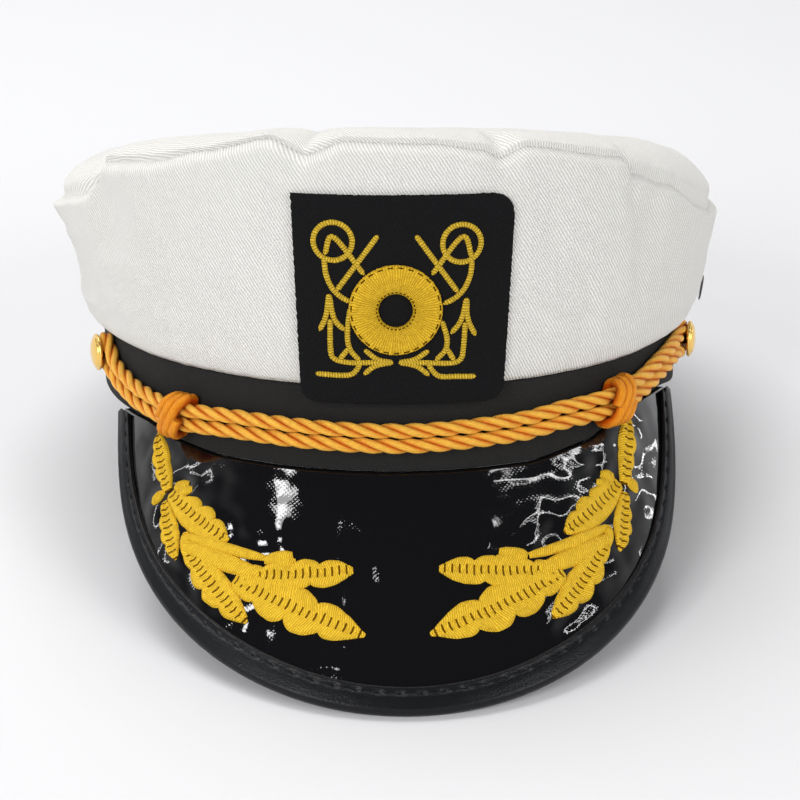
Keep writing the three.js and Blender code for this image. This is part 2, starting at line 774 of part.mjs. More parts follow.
function asGeometry(solid) {
  const mesh = solid.getMesh();
  const geometry = new THREE.BufferGeometry();
  geometry.setAttribute('position', new THREE.Float32BufferAttribute(mesh.vertProperties, 3));
  geometry.setIndex(Array.from(mesh.triVerts));
  geometry.computeVertexNormals();
  return geometry;
}

function sprayGeometry(side) {
  return asGeometry(wasm.Manifold.union(LEAF_ROWS.map((row) => asManifold(leafStrip(row, side)))));
}

// How far the hat tips back: far enough for the peak's edge and the back of the band to lie level.
function lowest(geometry, tilt) {
  const position = geometry.getAttribute('position');
  let low = Infinity;
  for (let i = 0; i < position.count; i += 1) {
    low = Math.min(low, position.getZ(i) * Math.cos(tilt) - position.getY(i) * Math.sin(tilt));
  }
  return low;
}

const headband = headbandGeometry();
const binding = bindingGeometry();

function restTilt() {
  let low = 0;
  let high = rad(30);
  for (let i = 0; i < 40; i += 1) {
    const middle = 0.5 * (low + high);
    if (lowest(binding, middle) < lowest(headband, middle)) low = middle;
    else high = middle;
  }
  return 0.5 * (low + high);
}

const TILT = restTilt();
const FLOOR = lowest(headband, TILT) + REST_SINK;

// Cloth that rests on the floor is pressed flat where it lies.
function settled(geometry) {
  const up = new THREE.Vector3(0, -Math.sin(TILT), Math.cos(TILT));
  const position = geometry.getAttribute('position');
  const point = new THREE.Vector3();
  for (let i = 0; i < position.count; i += 1) {
    point.fromBufferAttribute(position, i);
    const below = FLOOR - point.dot(up);
    if (below > 0) point.addScaledVector(up, below);
    position.setXYZ(i, point.x, point.y, point.z);
  }
  geometry.computeVertexNormals();
  return geometry;
}

const COLOURS = {
  white: { color: 0xe8e7e1, roughness: 0.9, metalness: 0 },
  band: { color: 0x1c1b1a, roughness: 0.85, metalness: 0 },
  patent: { color: 0x060607, roughness: 0.12, metalness: 0 },
  binding: { color: 0x141414, roughness: 0.5, metalness: 0 },
  cord: { color: 0xf0a030, roughness: 0.45, metalness: 0 },
  thread: { color: 0xe6c428, roughness: 0.5, metalness: 0 },
  brass: { color: 0xc9a24a, roughness: 0.25, metalness: 1 },
  steel: { color: 0x2a2a2c, roughness: 0.35, metalness: 1 },
};

function piece(name, geometry, finish) {
  const mesh = new THREE.Mesh(geometry, new THREE.MeshStandardMaterial(COLOURS[finish]));
  mesh.name = name;
  return mesh;
}

function sideButton(name, button) {
  const { point, out } = bandAt(button.angle);
  return facing(piece(name, buttonGeometry(), 'brass'), point.setZ(BAND_HEIGHT * button.height), out);
}

function ventEyelet(name, angle) {
  const share = EYELET_SHARE;
  const step = 0.02;
  const centre = crownPoint(angle, share, 0);
  const up = crownPoint(angle, share + step, 0).sub(crownPoint(angle, share - step, 0));
  const along = crownPoint(angle + 1, share, 0).sub(crownPoint(angle - 1, share, 0));
  const normal = new THREE.Vector3().crossVectors(along, up).normalize();
  if (normal.dot(centre) < 0) normal.negate();
  return facing(piece(name, eyeletGeometry(), 'steel'), centre, normal);
}

const hat = new THREE.Group();
hat.name = 'tipped_hat';
hat.add(
  piece('crown_side', crownSideGeometry(), 'white'),
  piece('crown_top', crownTopGeometry(), 'white'),
  piece('headband', settled(headband), 'band'),
  piece('visor', visorGeometry(), 'patent'),
  piece('visor_binding', settled(binding), 'binding'),
  piece('chin_cord', cordGeometry(), 'cord'),
  piece('slide_knot_left', knotGeometry(KNOT_ANGLE_LEFT), 'cord'),
  piece('slide_knot_right', knotGeometry(KNOT_ANGLE_RIGHT), 'cord'),
  sideButton('side_button_left', BUTTON_LEFT),
  sideButton('side_button_right', BUTTON_RIGHT),
  ventEyelet('vent_eyelet_left', EYELET_ANGLE_LEFT),
  ventEyelet('vent_eyelet_right', EYELET_ANGLE_RIGHT),
  piece('emblem_patch', patchGeometry(), 'band'),
  piece('emblem_ring', ringGeometry(), 'thread'),
  piece('leaf_spray_left', sprayGeometry(-1), 'thread'),
  piece('leaf_spray_right', sprayGeometry(1), 'thread'),
);
hat.rotation.x = -TILT;
hat.position.z = -FLOOR;

// The origin sits under the middle of the whole hat, on the floor.
hat.updateMatrixWorld(true);
const middle = new THREE.Box3().setFromObject(hat, true).getCenter(new THREE.Vector3());
hat.position.x -= middle.x;
hat.position.y -= middle.y;

const group = new THREE.Group();
group.name = 'captain_hat';
group.add(hat);
export default group;
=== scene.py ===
import logging
import math
from dataclasses import dataclass
from enum import Enum
from functools import cached_property
from typing import Callable, Sequence

import bmesh
import bpy
from mathutils import Matrix, Vector, noise


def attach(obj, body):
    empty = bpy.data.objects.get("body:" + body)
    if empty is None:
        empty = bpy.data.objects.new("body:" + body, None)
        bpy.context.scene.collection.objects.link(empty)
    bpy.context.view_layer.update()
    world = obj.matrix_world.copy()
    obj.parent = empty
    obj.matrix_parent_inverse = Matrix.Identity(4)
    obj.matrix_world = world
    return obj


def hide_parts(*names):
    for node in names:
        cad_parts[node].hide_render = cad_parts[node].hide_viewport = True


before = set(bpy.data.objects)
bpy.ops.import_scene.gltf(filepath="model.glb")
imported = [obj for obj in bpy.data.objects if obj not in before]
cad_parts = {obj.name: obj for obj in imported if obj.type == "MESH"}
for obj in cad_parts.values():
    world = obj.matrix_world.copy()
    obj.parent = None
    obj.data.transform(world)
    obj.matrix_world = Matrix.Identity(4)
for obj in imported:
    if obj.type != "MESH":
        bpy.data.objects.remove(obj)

LOG = logging.getLogger("captain_hat")
MILLIMETRE = 0.001
BODY = "root"
SPLINE_STEPS = 8
STITCH_WELD = 0.0005

Row = tuple[float, float]
Socket = bpy.types.NodeSocket
Place = Callable[[float, float], Vector]
Measure = Callable[[float, float], Row]


def rows_value(rows: Sequence[Row], at: float) -> float:
    """Reads a table of (where, value) rows with a soft blend between rows.

    Args:
        rows: the rows, in rising order of where.
        at: the place to read.

    Returns:
        The value there.
    """
    if at <= rows[0][0]:
        return rows[0][1]
    for (low, before), (high, after) in zip(rows, rows[1:]):
        if at <= high:
            share = (at - low) / (high - low)
            eased = share * share * (3 - 2 * share)
            return before + 0.5 * (share + eased) * (after - before)
    return rows[-1][1]


def half_turn(degrees: float) -> float:
    """The angle between -180 and 180 degrees."""
    return (degrees + 180) % 360 - 180


def bell(distance: float, spread: float) -> float:
    """A smooth bump of height 1 that fades over the spread."""
    return math.exp(-((distance / spread) ** 2))


def ripple(x: float, y: float, seed: float) -> float:
    """Smooth noise between about -1 and 1."""
    return noise.noise(Vector((x, y, seed)))


def spline(points: Sequence[Vector], closed: bool, spacing: float) -> list[Vector]:
    """Runs a smooth line through points and steps evenly along it.

    Args:
        points: the points to pass through.
        closed: whether the line returns to its start.
        spacing: the length of one step.

    Returns:
        The evenly spaced points; a closed line doesn't repeat its first.
    """
    count = len(points)
    dense: list[Vector] = []
    for i in range(count if closed else count - 1):
        if closed:
            a, b, c, d = (points[(i + k) % count] for k in (-1, 0, 1, 2))
        else:
            b, c = points[i], points[i + 1]
            a = points[i - 1] if i else b * 2 - c
            d = points[i + 2] if i + 2 < count else c * 2 - b
        bend = 2 * a - 5 * b + 4 * c - d
        sway = 3 * b - a - 3 * c + d
        for step in range(SPLINE_STEPS):
            t = step / SPLINE_STEPS
            dense.append(0.5 * (2 * b + (c - a) * t + bend * t**2 + sway * t**3))
    dense.append(points[0].copy() if closed else points[-1].copy())
    lengths = [0.0]
    for before, after in zip(dense, dense[1:]):
        lengths.append(lengths[-1] + (after - before).length)
    steps = max(4, round(lengths[-1] / spacing))
    even: list[Vector] = []
    at = 0
    for i in range(steps if closed else steps + 1):
        want = lengths[-1] * i / steps
        while at + 2 < len(lengths) and lengths[at + 1] < want:
            at += 1
        gap = max(lengths[at + 1] - lengths[at], 1e-9)
        even.append(dense[at].lerp(dense[at + 1], min(1.0, (want - lengths[at]) / gap)))
    return even


@dataclass(frozen=True)
class HatFrame:
    """The hat's own frame: origin at the centre of the band's lower edge, millimetres, front to -y.

    The tilt is how far the hat tips back at rest, and the shift is where its origin then lies in the shared
    frame. The rows give how far the band's lower edge rises round the hat, as a share of the band's height.
    """

    half_width: float = 90.7
    half_length: float = 102.0
    band_height: float = 24.5
    seam_gap: float = 0.3
    tilt: float = math.radians(12.6524)
    shift: tuple[float, float, float] = (1.3334, 18.4774, 21.7321)
    edge_rows: tuple[Row, ...] = (
        (-150, 0), (-110, 0.1), (-77, 0.15), (-54, 0.155), (-45, 0.05), (-36, 0), (24, 0), (36, 0.1),
        (46, 0.31), (54, 0.375), (62, 0.37), (76, 0.22), (110, 0.1), (150, 0),
    )

    def edge_rise(self, degrees: float) -> float:
        """How far the band's lower edge rises at an angle."""
        return self.band_height * rows_value(self.edge_rows, half_turn(degrees))

    def band_at(self, degrees: float) -> tuple[Vector, Vector, float]:
        """The band's outer ellipse at an angle from the front.

        Args:
            degrees: the angle, positive to the right.

        Returns:
            The point, the level direction out of it, and the length per radian.
        """
        u = math.radians(degrees)
        sine, cosine = math.sin(u), math.cos(u)
        point = Vector((self.half_width * sine, -self.half_length * cosine, 0))
        out = Vector((self.half_length * sine, -self.half_width * cosine, 0)).normalized()
        return point, out, math.hypot(self.half_width * cosine, self.half_length * sine)

    def on_band(self, degrees: float, offset: float, height: float) -> Vector:
        """A point beside the band.

        Args:
            degrees: the angle from the front, positive to the right.
            offset: how far out of the band's face it lies.
            height: its height above the band's lower edge.

        Returns:
            The point.
        """
        point, out, _ = self.band_at(degrees)
        point += out * offset
        point.z = height
        return point

    def degrees_for(self, length: float, degrees: float) -> float:
        """The angle that a length takes along the band there."""
        return math.degrees(length / self.band_at(degrees)[2])

    def turn(self) -> Matrix:
        """The turn that tips the hat back onto its peak and band."""
        return Matrix.Rotation(-self.tilt, 4, "X")

    def to_row(self, point: Vector, settled: bool = False) -> Vector:
        """Puts a point of the hat into the shared frame.

        Args:
            point: the point in the hat's frame, in millimetres.
            settled: whether cloth there is pressed flat on the floor.

        Returns:
            The point in metres.
        """
        placed = self.turn() @ point + Vector(self.shift)
        if settled:
            placed.z = max(placed.z, 0.0)
        return placed * MILLIMETRE


class Slot(Enum):
    """The record's material slots."""

    CROWN = "crown_cloth"
    BAND = "band_cloth"
    PATENT = "patent"
    BINDING = "binding"
    CORD = "cord"
    KNOT = "cord_knot"
    BRASS = "button_brass"
    STEEL = "eyelet_metal"
    PATCH = "patch_cloth"
    GOLD_THREAD = "gold_thread"
    LEAF_THREAD = "leaf_thread"


@dataclass(frozen=True)
class Colour:
    """A linear colour."""

    red: float
    green: float
    blue: float

    def rgba(self) -> tuple[float, float, float, float]:
        """The colour with full alpha."""
        return (self.red, self.green, self.blue, 1.0)

    def scaled(self, share: float) -> "Colour":
        """The colour, lighter or darker."""
        return Colour(self.red * share, self.green * share, self.blue * share)


class Weave:
    """A material under construction: a base shader and the nodes that drive it."""

    def __init__(self, name: str, colour: Colour, roughness: float, metallic: float = 0.0) -> None:
        """Starts a material.

        Args:
            name: the material's name.
            colour: its base colour.
            roughness: its roughness.
            metallic: 1 for metal.
        """
        self.material = bpy.data.materials.new(name)
        self.material.use_nodes = True
        self.tree = self.material.node_tree
        self.shader = self.tree.nodes["Principled BSDF"]
        self.shader.inputs["Base Color"].default_value = colour.rgba()
        self.shader.inputs["Roughness"].default_value = roughness
        self.shader.inputs["Metallic"].default_value = metallic
        self.material.diffuse_color = colour.rgba()

    def node(self, kind: str, **settings: object) -> bpy.types.Node:
        """Adds a node.

        Args:
            kind: the node's type.
            settings: its properties.

        Returns:
            The node.
        """
        made = self.tree.nodes.new(kind)
        for key, value in settings.items():
            setattr(made, key, value)
        return made

    def link(self, source: Socket, target: Socket) -> None:
        """Joins two sockets."""
        self.tree.links.new(source, target)

    def maths(self, operation: str, first: object, second: object = 0.0) -> Socket:
        """A maths node over numbers or sockets.

        Args:
            operation: the node's operation.
            first: its first value, a number or a socket.
            second: its second value.

        Returns:
            The result's socket.
        """
        made = self.node("ShaderNodeMath", operation=operation)
        for socket, value in zip(made.inputs, (first, second)):
            if isinstance(value, Socket):
                self.link(value, socket)
            else:
                socket.default_value = value
        return made.outputs[0]

    def plane(self) -> tuple[Socket, Socket, Socket]:
        """Reads the piece's own flat measure in millimetres.

        Returns:
            The sockets for along, across, and both together.
        """
        uv = self.node("ShaderNodeUVMap")
        uv.uv_map = "measure"
        parts = self.node("ShaderNodeSeparateXYZ")
        self.link(uv.outputs[0], parts.inputs[0])
        return parts.outputs[0], parts.outputs[1], uv.outputs[0]

    def speckle(self, vector: Socket, size: float, detail: float = 3.0) -> Socket:
        """Noise from 0 to 1.

        Args:
            vector: the measure to read it by.
            size: the size of its grains in millimetres.
            detail: how much finer noise lies in it.

        Returns:
            The socket with the noise.
        """
        made = self.node("ShaderNodeTexNoise")
        made.inputs["Scale"].default_value = 1 / size
        made.inputs["Detail"].default_value = detail
        self.link(vector, made.inputs["Vector"])
        return made.outputs["Fac"]

    def stripes(self, x: object, y: object, slope: Row, period: float, waver: object = 0.0) -> Socket:
        """Even ribs from 0 to 1 across a direction.

        Args:
            x: the measure along.
            y: the measure across.
            slope: the direction the ribs repeat in.
            period: the distance from rib to rib.
            waver: a socket that bends the ribs, in ribs.

        Returns:
            The socket with the ribs.
        """
        size = math.hypot(*slope) * period
        along = self.maths("MULTIPLY", x, slope[0] / size)
        across = self.maths("MULTIPLY", y, slope[1] / size)
        phase = self.maths("ADD", self.maths("ADD", along, across), waver)
        wave = self.maths("SINE", self.maths("MULTIPLY", phase, 2 * math.pi))
        return self.maths("ADD", self.maths("MULTIPLY", wave, 0.5), 0.5)

    def blend(self, share: Socket, low: Colour, high: Colour) -> Socket:
        """Mixes two colours.

        Args:
            share: a socket from 0 to 1.
            low: the colour at 0.
            high: the colour at 1.

        Returns:
            The socket with the colour.
        """
        ramp = self.node("ShaderNodeValToRGB")
        ramp.color_ramp.elements[0].color = low.rgba()
        ramp.color_ramp.elements[1].color = high.rgba()
        self.link(share, ramp.inputs[0])
        return ramp.outputs[0]

    def bump(self, height: Socket, depth: float, strength: float = 1.0) -> None:
        """Adds relief over any relief already there.

        Args:
            height: a socket from 0 to 1.
            depth: what a height of 1 stands for, in millimetres.
            strength: how much of it shows.
        """
        made = self.node("ShaderNodeBump")
        made.inputs["Strength"].default_value = strength
        made.inputs["Distance"].default_value = depth * MILLIMETRE
        self.link(height, made.inputs["Height"])
        normal = self.shader.inputs["Normal"]
        if normal.is_linked:
            self.link(normal.links[0].from_socket, made.inputs["Normal"])
        self.link(made.outputs[0], normal)


@dataclass(frozen=True)
class ClothFinish:
    """Woven cloth with slanting ribs, and painted shade in the grooves between them."""

    name: str
    colour: Colour
    shade: Colour
    rib: float
    depth: float
    slope: Row = (1.0, 1.0)
    roughness: float = 0.9
    sheen: float = 0.1
    gloss: float = 0.25
    drift_grain: float = 6.0
    drift: float = 1.4
    cross_slant: float = -0.35
    cross_share: float = 0.6
    cross_height: float = 0.1
    fuzz_grain: float = 0.6
    fuzz_detail: float = 1.5
    fuzz_height: float = 0.15
    # groove and rib_light set how narrow and how strong the painted shade between the ribs is
    groove: float = 0.45
    rib_light: float = 0.75
    fuzz_light: float = 0.28

    def build(self) -> bpy.types.Material:
        """Makes the cloth: ribs that drift a little, fine threads across them, and fuzz, with painted shade
        in the grooves between the ribs and random tone from the fuzz.

        Returns:
            The material.
        """
        weave = Weave(self.name, self.colour, self.roughness)
        x, y, flat = weave.plane()
        waver = weave.maths("MULTIPLY", weave.speckle(flat, self.drift_grain), self.drift)
        ribs = weave.stripes(x, y, self.slope, self.rib, waver)
        crosswise = (self.slope[1], self.cross_slant * self.slope[0])
        threads = weave.stripes(x, y, crosswise, self.cross_share * self.rib)
        fuzz = weave.speckle(flat, self.fuzz_grain, self.fuzz_detail)
        height = weave.maths("ADD", ribs, weave.maths("MULTIPLY", threads, self.cross_height))
        height = weave.maths("ADD", height, weave.maths("MULTIPLY", fuzz, self.fuzz_height))
        # painted shade: the colour falls towards the shade colour in the grooves between the ribs; the fuzz
        # adds random tone
        wide = weave.maths("MULTIPLY", weave.maths("POWER", ribs, self.groove), self.rib_light)
        groove_shade_and_fuzz_tone = weave.maths("ADD", wide, weave.maths("MULTIPLY", fuzz, self.fuzz_light))
        weave.link(weave.blend(groove_shade_and_fuzz_tone, self.shade, self.colour), weave.shader.inputs["Base Color"])
        weave.shader.inputs["Sheen Weight"].default_value = self.sheen
        weave.shader.inputs["Specular IOR Level"].default_value = self.gloss
        weave.bump(height, self.depth)
        return weave.material


@dataclass(frozen=True)
class PatentFinish:
    """Black patent with a fine weave pressed into its gloss."""

    name: str
    colour: Colour
    emboss: float = 0.9
    depth: float = 0.005
    roughness: float = 0.04
    coat: float = 0.6
    coat_roughness: float = 0.03
    refraction: float = 1.5
    wave_grain: float = 8.0
    wave_depth: float = 0.3

    def build(self) -> bpy.types.Material:
        """Makes the patent.

        Returns:
            The material.
        """
        weave = Weave(self.name, self.colour, self.roughness)
        x, y, flat = weave.plane()
        along = weave.stripes(x, y, (1.0, 1.0), self.emboss)
        across = weave.stripes(x, y, (1.0, -1.0), self.emboss)
        weave.shader.inputs["Coat Weight"].default_value = self.coat
        weave.shader.inputs["Coat Roughness"].default_value = self.coat_roughness
        weave.shader.inputs["IOR"].default_value = self.refraction
        weave.bump(weave.speckle(flat, self.wave_grain, detail=1.0), self.wave_depth)
        weave.bump(weave.maths("MULTIPLY", along, across), self.depth)
        return weave.material


@dataclass(frozen=True)
class LeatherFinish:
    """Soft leathercloth with a fine grain."""

    name: str
    colour: Colour
    shade: Colour
    roughness: float = 0.34
    gloss: float = 0.2
    grain_scale: float = 1.7
    grain_depth: float = 0.05
    pore_grain: float = 2.5
    pore_depth: float = 0.06
    wear_grain: float = 9.0

    def build(self) -> bpy.types.Material:
        """Makes the leathercloth.

        Returns:
            The material.
        """
        weave = Weave(self.name, self.colour, self.roughness)
        _, _, flat = weave.plane()
        grain = weave.node("ShaderNodeTexVoronoi")
        grain.inputs["Scale"].default_value = self.grain_scale
        weave.link(flat, grain.inputs["Vector"])
        worn = weave.blend(weave.speckle(flat, self.wear_grain), self.shade, self.colour)
        weave.link(worn, weave.shader.inputs["Base Color"])
        weave.shader.inputs["Specular IOR Level"].default_value = self.gloss
        weave.bump(grain.outputs["Distance"], self.grain_depth)
        weave.bump(weave.speckle(flat, self.pore_grain), self.pore_depth)
        return weave.material


@dataclass(frozen=True)
class Slit:
    """A broken dark line in stitching: where it runs, half its width, its beat and the dark share of it."""

    across: float
    half: float
    period: float
    share: float


@dataclass(frozen=True)
class ThreadFinish:
    """Shiny thread laid side by side: satin stitch, or the fine threads of a cord's strand, with painted
    shade between the stitches and in crevices.
    """

    name: str
    colour: Colour
    # the painted shade colour, used between the stitches and in crevices
    crevice_shade: Colour
    stitch: float
    slope: Row
    depth: float
    slits: tuple[Slit, ...] = ()
    chevron: bool = False
    between_shade: float = 0.8
    gloss: float = 0.3
    roughness: float = 0.5
    loose_grain: float = 1.6
    loose_bend: float = 1.1
    loose_light: float = 0.7
    least_light: float = 0.5
    groove: float = 0.5
    slit_shade: float = 0.3

    def build(self) -> bpy.types.Material:
        """Makes the thread: painted shade between the stitches and deep in a crevice, and dark along the
        slits.

        Returns:
            The material.
        """
        weave = Weave(self.name, self.colour, self.roughness)
        x, y, flat = weave.plane()
        loose = weave.speckle(flat, self.loose_grain)
        over = weave.maths("ABSOLUTE", y) if self.chevron else y
        bend = weave.maths("MULTIPLY", loose, self.loose_bend)
        stitches = weave.stripes(x, over, self.slope, self.stitch, bend)
        # painted shade in the hollows between the stitches
        hollow_shade = weave.maths("SUBTRACT", 1.0, weave.maths("POWER", stitches, self.groove))
        share = weave.maths("SUBTRACT", 1.0, weave.maths("MULTIPLY", hollow_shade, self.between_shade))
        uneven = weave.maths("ADD", weave.maths("MULTIPLY", loose, self.loose_light), self.least_light)
        light = weave.maths("MULTIPLY", share, uneven)
        # painted shade: the depth attribute darkens the thread in crevices between a cord's strands and
        # where wraps lie on the cord
        fall = weave.node("ShaderNodeAttribute")
        fall.attribute_name = "depth"
        light = weave.maths("MULTIPLY", light, weave.maths("SUBTRACT", 1.0, fall.outputs["Fac"]))
        colour = weave.blend(light, self.crevice_shade, self.colour)
        weave.shader.inputs["Specular IOR Level"].default_value = self.gloss
        weave.shader.inputs["Specular Tint"].default_value = self.colour.rgba()
        for slit in self.slits:
            aside = weave.maths("ABSOLUTE", weave.maths("SUBTRACT", y, slit.across))
            near = weave.maths("LESS_THAN", aside, slit.half)
            beat = weave.maths("FRACT", weave.maths("MULTIPLY", x, 1 / slit.period))
            dark = weave.maths("MULTIPLY", near, weave.maths("LESS_THAN", beat, slit.share))
            mix = weave.node("ShaderNodeMix", data_type="RGBA")
            weave.link(dark, mix.inputs[0])
            weave.link(colour, mix.inputs[6])
            mix.inputs[7].default_value = self.crevice_shade.scaled(self.slit_shade).rgba()
            colour = mix.outputs[2]
        weave.link(colour, weave.shader.inputs["Base Color"])
        weave.bump(stitches, self.depth)
        return weave.material


@dataclass(frozen=True)
class MetalFinish:
    """Pressed metal."""

    name: str
    colour: Colour
    roughness: float
    dent_grain: float = 1.1
    dent_depth: float = 0.03

    def build(self) -> bpy.types.Material:
        """Makes the metal.

        Returns:
            The material.
        """
        weave = Weave(self.name, self.colour, self.roughness, metallic=1.0)
        _, _, flat = weave.plane()
        weave.bump(weave.speckle(flat, self.dent_grain), self.dent_depth)
        return weave.material


WHITE_TWILL = ClothFinish(
    "white_twill", Colour(0.82, 0.81, 0.775), Colour(0.44, 0.43, 0.4),
    rib=0.85, depth=0.19, slope=(1.5, 1.0), sheen=0.05,
)
BLACK_TWILL = ClothFinish(
    "black_twill", Colour(0.016, 0.015, 0.014), Colour(0.006, 0.006, 0.006), rib=0.7, depth=0.15, sheen=0.03
)
PATCH_TWILL = ClothFinish(
    "patch_twill", Colour(0.008, 0.008, 0.009), Colour(0.003, 0.003, 0.003),
    rib=0.6, depth=0.15, sheen=0.0, gloss=0.12,
)
PATENT = PatentFinish("black_patent", Colour(0.003, 0.003, 0.0035))
LEATHERCLOTH = LeatherFinish(
    "black_leathercloth", Colour(0.006, 0.007, 0.008), Colour(0.004, 0.004, 0.005)
)
# the second colour of each thread is its painted shade
CORD_THREAD = ThreadFinish(
    "golden_cord", Colour(1.0, 0.6, 0.09), Colour(0.58, 0.08, 0.002),
    stitch=0.42, slope=(0.5, 1.0), depth=0.12, between_shade=0.35, gloss=0.7, roughness=0.36,
)
KNOT_THREAD = ThreadFinish(
    "golden_wrap", Colour(1.0, 0.42, 0.03), Colour(0.45, 0.05, 0.002),
    stitch=0.42, slope=(0.5, 1.0), depth=0.14, between_shade=0.7, gloss=0.6, roughness=0.4,
)
BADGE_THREAD = ThreadFinish(
    "badge_thread", Colour(0.8, 0.51, 0.035), Colour(0.24, 0.11, 0.001),
    stitch=0.62, slope=(1.0, 0.0), depth=0.2, between_shade=0.6,
    slits=(Slit(0.6, 0.2, 1.9, 0.6), Slit(7.55, 0.22, 2.1, 0.55)),
)
ANCHOR_THREAD = ThreadFinish(
    "anchor_thread", Colour(0.8, 0.54, 0.05), Colour(0.14, 0.08, 0.005),
    stitch=0.75, slope=(1.0, 0.1), depth=0.25,
)
LEAF_THREAD = ThreadFinish(
    "leaf_thread", Colour(1.0, 0.67, 0.05), Colour(0.45, 0.19, 0.002),
    stitch=0.55, slope=(1.0, 0.3), depth=0.28, between_shade=0.65,
    slits=(Slit(0.0, 1.35, 1.85, 0.26),), chevron=True,
)
BRASS = MetalFinish("gilt_brass", Colour(0.95, 0.62, 0.17), 0.2)
STEEL = MetalFinish("dark_steel", Colour(0.06, 0.06, 0.065), 0.3)


class Piece:
    """One finished piece of the hat, from a working mesh."""

    def __init__(self, name: str, hat: HatFrame) -> None:
        """Starts an empty piece.

        Args:
            name: the name of the object.
            hat: the frame that its points are given in.
        """
        self.name = name
        self.hat = hat
        self.work = bmesh.new()
        self.measure = self.work.loops.layers.uv.new("measure")
        # the depth layer sets how much painted crevice shade the thread finishes put on a point
        self.depth = self.work.verts.layers.float.new("depth")

    def grid(
        self,
        columns: int,
        rows: int,
        place: Place,
        measure: Measure,
        settled: bool = False,
        depth: Callable[[float, float], float] | None = None,
    ) -> None:
        """Adds a grid and lays it on a surface.

        Args:
            columns: faces along its first side.
            rows: faces along its second side.
            place: the hat point for shares 0 to 1 along both sides.
            measure: the flat measure in millimetres for the same shares.
            settled: whether it is pressed flat on the floor.
            depth: how deep in a crevice it lies, from 0 to 1, for the same shares, which sets the painted
                shade there.
        """
        made = bmesh.ops.create_grid(self.work, x_segments=columns, y_segments=rows, size=0.5, calc_uvs=True)
        fresh = made["verts"]
        for face in {face for vert in fresh for face in vert.link_faces}:
            face.smooth = True
            for loop in face.loops:
                loop[self.measure].uv = measure(loop.vert.co.x + 0.5, loop.vert.co.y + 0.5)
        for vert in fresh:
            shares = vert.co.x + 0.5, vert.co.y + 0.5
            vert[self.depth] = depth(*shares) if depth else 0.0
            vert.co = self.hat.to_row(place(*shares), settled)

    def spun(self, profile: Sequence[Row], steps: int, centre: Vector, axis: Vector) -> None:
        """Spins a profile of (radius, height) rows about an axis.

        Args:
            profile: the rows from the axis or an inner edge outward and back.
            steps: the steps round.
            centre: the foot of the axis in the hat's frame.
            axis: its direction.
        """
        matrix = Matrix.Translation(centre) @ axis.to_track_quat("Z", "Y").to_matrix().to_4x4()
        points = [self.work.verts.new(Vector((radius, 0, height))) for radius, height in profile]
        edges = [self.work.edges.new(pair) for pair in zip(points, points[1:])]
        bmesh.ops.spin(
            self.work,
            geom=points + edges,
            cent=(0, 0, 0),
            axis=(0, 0, 1),
            angle=2 * math.pi,
            steps=steps,
            use_merge=True,
        )
        bmesh.ops.remove_doubles(self.work, verts=self.work.verts, dist=1e-5)
        for face in self.work.faces:
            face.smooth = True
            for loop in face.loops:
                co = loop.vert.co
                loop[self.measure].uv = (co.x + co.z, co.y)
        for vert in self.work.verts:
            vert.co = self.hat.to_row(matrix @ vert.co)

    def finish(
        self,
        material: bpy.types.Material,
        weld: float = 0.004,
        fill: bool = False,
    ) -> bpy.types.Object:
        """Welds the mesh and makes the object.

        Args:
            material: its finish.
            weld: how near points are joined, in millimetres.
            fill: whether open ends are closed.

        Returns:
            The object.
        """
        bmesh.ops.remove_doubles(self.work, verts=self.work.verts, dist=weld * MILLIMETRE)
        if fill:
            open_edges = [edge for edge in self.work.edges if edge.is_boundary]
            bmesh.ops.holes_fill(self.work, edges=open_edges)
        bmesh.ops.recalc_face_normals(self.work, faces=self.work.faces)
        mesh = bpy.data.meshes.new(self.name)
        self.work.to_mesh(mesh)
        self.work.free()
        mesh.materials.append(material)
        made = bpy.data.objects.new(self.name, mesh)
        bpy.context.collection.objects.link(made)
        LOG.info("%s: %d faces", self.name, len(mesh.polygons))
        return made


def hand_over(made: bpy.types.Object, slot: Slot, *nodes: str) -> None:
    """Ties a finished piece to the hat's body.

    Args:
        made: the piece.
        slot: the record's slot; not used.
        nodes: the modelled nodes that it stands for.
    """
    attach(made, BODY)
    if nodes:
        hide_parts(*nodes)


def thicken(made: bpy.types.Object, wall: float) -> None:
    """Gives a skin its wall, inward from its face.

    Args:
        made: the skin.
        wall: the wall's thickness in millimetres.
    """
    shell = made.modifiers.new("wall", "SOLIDIFY")
    shell.thickness = wall * MILLIMETRE
    shell.offset = -1.0
    shell.use_even_offset = False


@dataclass(frozen=True)
class Fold:
    """A fold or dent of the crown's wall, in degrees and shares of the wall's height."""

    angle: float
    spread: float
    low: float
    high: float
    depth: float
    fade: float = 0.08
    ease: float = 0.7

    def at(self, degrees: float, share: float) -> float:
        """Its depth somewhere on the wall.

        Args:
            degrees: the angle round the hat.
            share: the share of the wall's height.

        Returns:
            The depth, as a share of the side flare.
        """
        half = 0.5 * (self.high - self.low) + self.fade
        rise = min(1.0, max(0.0, 1 - abs(share - 0.5 * (self.low + self.high)) / half))
        return self.depth * bell(half_turn(degrees - self.angle), self.spread) * rise**self.ease


@dataclass(frozen=True)
class Waves:
    """Soft waves of cloth: depth in millimetres, how close they lie round and up the wall, and a seed."""

    depth: float
    close: float
    climb: float
    seed: float

    def at(self, around: float, share: float) -> float:
        """Their depth at an angle in radians and a share of the height."""
        x, y = self.close * math.sin(around), self.close * math.cos(around)
        return self.depth * ripple(x, y, self.climb * share + self.seed)


